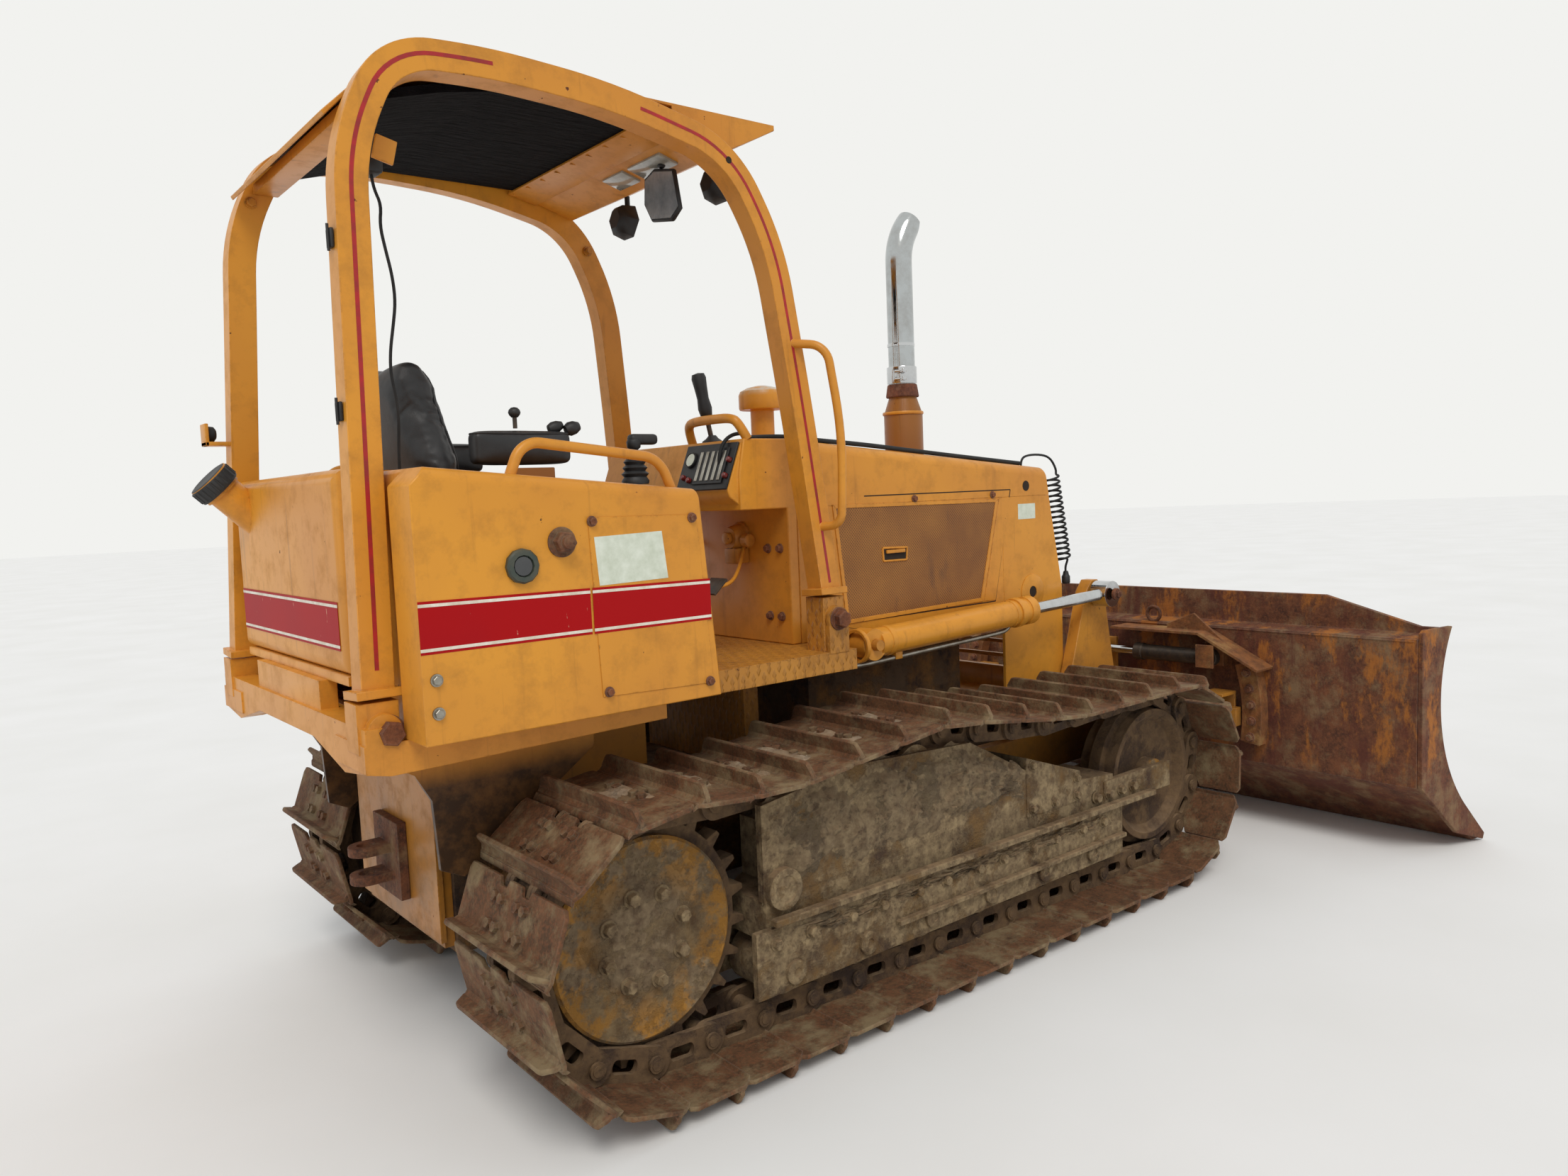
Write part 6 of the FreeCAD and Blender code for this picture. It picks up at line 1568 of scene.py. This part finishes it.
def stripe(form, side, run):
    """A narrow tape along the outer face of a leaning arch."""
    part = bmesh.new()
    pairs = []
    for i, here in enumerate(run):
        along = (run[min(i + 1, len(run) - 1)] - run[max(i - 1, 0)]).normalized()
        across = Vector((-along.z, 0, along.x)) * STRIPE
        pair = []
        for spot in (here + across, here - across):
            pair.append(part.verts.new(at(spot.x, side * bar_y(spot.z, BAR_OUT), spot.z)))
        pairs.append(pair)
    rails = [part.edges.new(ends) for rail in zip(*pairs) for ends in zip(rail, rail[1:])]
    bmesh.ops.bridge_loops(part, edges=rails)
    join(form, part)


class BULLDOZER_OT_arches(bpy.types.Operator):
    """Red pinlines along the arches, their lug bolts, the near post's clips and the far one's bracket."""
    bl_idname = "bulldozer.arches"
    bl_label = "Arches"

    def execute(self, context):
        run = rounded_run(BAR_LINE)
        rear = [spot for spot in run[:-1] if spot.x < LINE_BREAK[0]]
        front = [spot for spot in run if spot.x > LINE_BREAK[1]]
        rear[0] = rear[0].lerp(rear[1], 0.05)
        front[-1] = front[-1].lerp(front[-2], 0.08)
        for side, word in SIDES:
            lines, bolts, holes = (bmesh.new() for _ in range(3))
            stripe(lines, side, rear)
            stripe(lines, side, front)
            spot = min(run, key=lambda point: (point - Vector((HOLE[0], 0, HOLE[1]))).length)
            face = bar_y(spot.z, BAR_OUT) - 0.2
            disc(holes, (spot.x, side * face, spot.z), (0, side, 0), 10, 0.9, 20)
            bolt(bolts, (-551, side * 612, 1024), (0, side, 0), 52, 34, True, 0.3)
            bolt(bolts, (828, side * 624, 1140), (0, side, 0), 46, 26, True, 0.1)
            piece("arch_lines_" + word, lines, "arch red")
            piece("arch_hole_" + word, holes, "dark recess")
            piece("lug_bolts_" + word, bolts, "rusty bolt")
        clips = bmesh.new()
        (foot_x, foot_z), (top_x, top_z) = BAR_LINE[:2]
        for z in (2140, 1750):
            y = -bar_y(z)
            x = foot_x + (top_x - foot_x) * (z - foot_z) / (top_z - foot_z) - BAR_HALF
            block(clips, (x - 9, y - 16, z - 22), (x, y + 16, z + 22), 3)
            rod(clips, (x - 12, y - 9, z - 30), (x - 12, y - 9, z + 30), 3.5, 8)
        piece("post_clips", clips, "black")
        bracket = bmesh.new()
        y = bar_y(1770)
        block(bracket, (-640, y - 30, 1735), (-566, y + 30, 1747), 2)
        block(bracket, (-640, y - 30, 1735), (-630, y + 30, 1800), 2)
        piece("lamp_bracket", bracket, "yellow")
        pad = bmesh.new()
        turned(pad, (-630, y, 1770), (1, 0, 0), [(0, 8), (0, 24), (18, 22), (24, 14), (24, 8)], 20)
        piece("bracket_rubber", pad, "rubber")
        return {"FINISHED"}


# The lift cylinder's two eyes as (x, z), and how far to the side its axis is.
LIFT_REAR, LIFT_FRONT, LIFT_Y = (1062, 1024), (2392, 1072), 500


def on_lift(x, drop=0.0):
    """Height of the lift cylinder's axis at x, and so far under it."""
    rise, run = LIFT_FRONT[1] - LIFT_REAR[1], LIFT_FRONT[0] - LIFT_REAR[0]
    return LIFT_REAR[1] + (x - LIFT_REAR[0]) * rise / run - drop


class BULLDOZER_OT_cylinders(bpy.types.Operator):
    """Lift cylinders' collars, clamps and oil pipes, and the eyes' pins."""
    bl_idname = "bulldozer.cylinders"
    bl_label = "Cylinders"

    def execute(self, context):
        way = (LIFT_FRONT[0] - LIFT_REAR[0], 0, LIFT_FRONT[1] - LIFT_REAR[1])
        for side, word in SIDES:
            body, rod_body = "lift_barrel_" + word, "lift_rod_" + word
            collars, pins = bmesh.new(), bmesh.new()
            for x, radius, long in ((1808, 55, 30), (1010, 56, 16), (1135, 51, 20), (1780, 51, 12)):
                turned(collars, (x, side * LIFT_Y, on_lift(x)), way,
                       [(0, 46), (0, radius - 2), (2, radius), (long - 2, radius), (long, radius - 2),
                        (long, 46)], 40)
            for turn in range(0, 360, 60):
                y, z = 50 * math.cos(math.radians(turn)), 50 * math.sin(math.radians(turn))
                bolt(collars, (1838, side * LIFT_Y + y * 0.86, on_lift(1838) + z * 0.86), way, 13, 8, False)
            block(collars, (1180, side * LIFT_Y - 12, on_lift(1196, 70)),
                  (1212, side * LIFT_Y + 12, on_lift(1196, 44)), 2)
            turned(pins, (LIFT_FRONT[0], side * 548, LIFT_FRONT[1]), (0, side, 0),
                   [(0, 24), (10, 24), (13, 20), (13, 0)], 24)
            bolt(pins, (LIFT_FRONT[0], side * 560, LIFT_FRONT[1]), (0, side, 0), 26, 12, False)
            piece("lift_collars_" + word, collars, "yellow", body)
            piece("lift_pins_" + word, pins, "rusty bolt", rod_body)
            drops = ((1000, 62), (1060, 66), (1197, 64), (1450, 63), (1716, 63), (1772, 58), (1784, 44))
            route = [(x, side * LIFT_Y, on_lift(x, drop)) for x, drop in drops]
            tube("lift_pipe_" + word, route, 9, "zinc", body)
        return {"FINISHED"}


# The retainers' bolts lie on this radius about the tilt pin.
GUARD_RADIUS = 772


class BULLDOZER_OT_blade_work(bpy.types.Operator):
    """Weld seam, retainer bolts, lifting ring and edge bolts of the blade."""
    bl_idname = "bulldozer.blade_work"
    bl_label = "Blade work"

    def execute(self, context):
        welds, bolts = bmesh.new(), bmesh.new()
        rod(welds, (3112, -1390, 860), (3112, 1390, 860), 4.5, 8)
        for i in range(5):
            turn = math.radians(-7 + 5.2 * i)
            for side in (-1, 1):
                spot = (3050, side * GUARD_RADIUS * math.cos(turn), 500 + GUARD_RADIUS * math.sin(turn))
                bolt(bolts, spot, (-1, 0, 0), 26, 15, True, turn)
        for side in (-1, 1):
            for z in (330, 470, 610, 750):
                bolt(bolts, (3150, side * 1409, z), (0, side, 0), 24, 12, True, z)
        piece("blade_welds", welds, "blade", "blade")
        piece("blade_bolts", bolts, "rusty bolt", "blade")
        turns = [k * math.pi / 6 for k in range(13)]
        ring = [(3120, -268 + 34 * math.cos(turn), 903 + 34 * math.sin(turn)) for turn in turns]
        tube("lifting_ring", ring, 8, "rust", "blade")
        return {"FINISHED"}


class BulldozerSettings(bpy.types.PropertyGroup):
    clean_yellow: bpy.props.StringProperty(name="Yellow",
                                           description="Enamel where it is clean, as an sRGB hex value",
                                           default="#DC9630")
    faded_yellow: bpy.props.StringProperty(name="Faded yellow",
                                           description="Enamel where the sun has faded it", default="#C98430")
    dirt: bpy.props.FloatProperty(name="Dirt", description="How much dirt lies on the paint", default=0.45,
                                  min=0, max=1, subtype="FACTOR")
    chips: bpy.props.FloatProperty(name="Chips", description="How much paint is chipped to rust", default=0.5,
                                   min=0, max=1, subtype="FACTOR")
    mud: bpy.props.FloatProperty(name="Mud", description="How much mud cakes the roller frames", default=0.5,
                                 min=0, max=1, subtype="FACTOR")
    sky: bpy.props.FloatProperty(name="Sky light", description="Strength of the sky", default=0.72, min=0,
                                 max=3)
    sun: bpy.props.FloatProperty(name="Sun", description="Strength of the hazy sun", default=1.3, min=0,
                                 max=10)


class BULLDOZER_PT_pieces(bpy.types.Panel):
    """Shows the settings, with the enamel's colours, and a button for each maker of the bulldozer's pieces.
    """
    bl_label = "Bulldozer"
    bl_idname = "BULLDOZER_PT_pieces"
    bl_space_type = "VIEW_3D"
    bl_region_type = "UI"
    bl_category = "Bulldozer"

    def draw(self, context):
        for name in BulldozerSettings.__annotations__:
            self.layout.prop(context.scene.bulldozer, name)
        for maker in MAKERS:
            self.layout.operator(maker.bl_idname)


MAKERS = [
    BULLDOZER_OT_stage,
    BULLDOZER_OT_rigid_nodes,
    BULLDOZER_OT_lamp_cord,
    BULLDOZER_OT_coiled_cable,
    BULLDOZER_OT_tracks,
    BULLDOZER_OT_undercarriage,
    BULLDOZER_OT_side_boxes,
    BULLDOZER_OT_tank,
    BULLDOZER_OT_hood,
    BULLDOZER_OT_exhaust,
    BULLDOZER_OT_seat,
    BULLDOZER_OT_dash,
    BULLDOZER_OT_levers,
    BULLDOZER_OT_canopy,
    BULLDOZER_OT_arches,
    BULLDOZER_OT_cylinders,
    BULLDOZER_OT_blade_work,
]


def register():
    for kind in [BulldozerSettings] + MAKERS + [BULLDOZER_PT_pieces]:
        bpy.utils.register_class(kind)
    bpy.types.Scene.bulldozer = bpy.props.PointerProperty(type=BulldozerSettings)


def unregister():
    del bpy.types.Scene.bulldozer
    for kind in reversed([BulldozerSettings] + MAKERS + [BULLDOZER_PT_pieces]):
        bpy.utils.unregister_class(kind)


def main():
    register()
    bpy.context.scene.view_settings.view_transform = "Standard"
    for maker in MAKERS:
        group, name = maker.bl_idname.split(".")
        getattr(getattr(bpy.ops, group), name)()


if __name__ == "__main__":
    main()
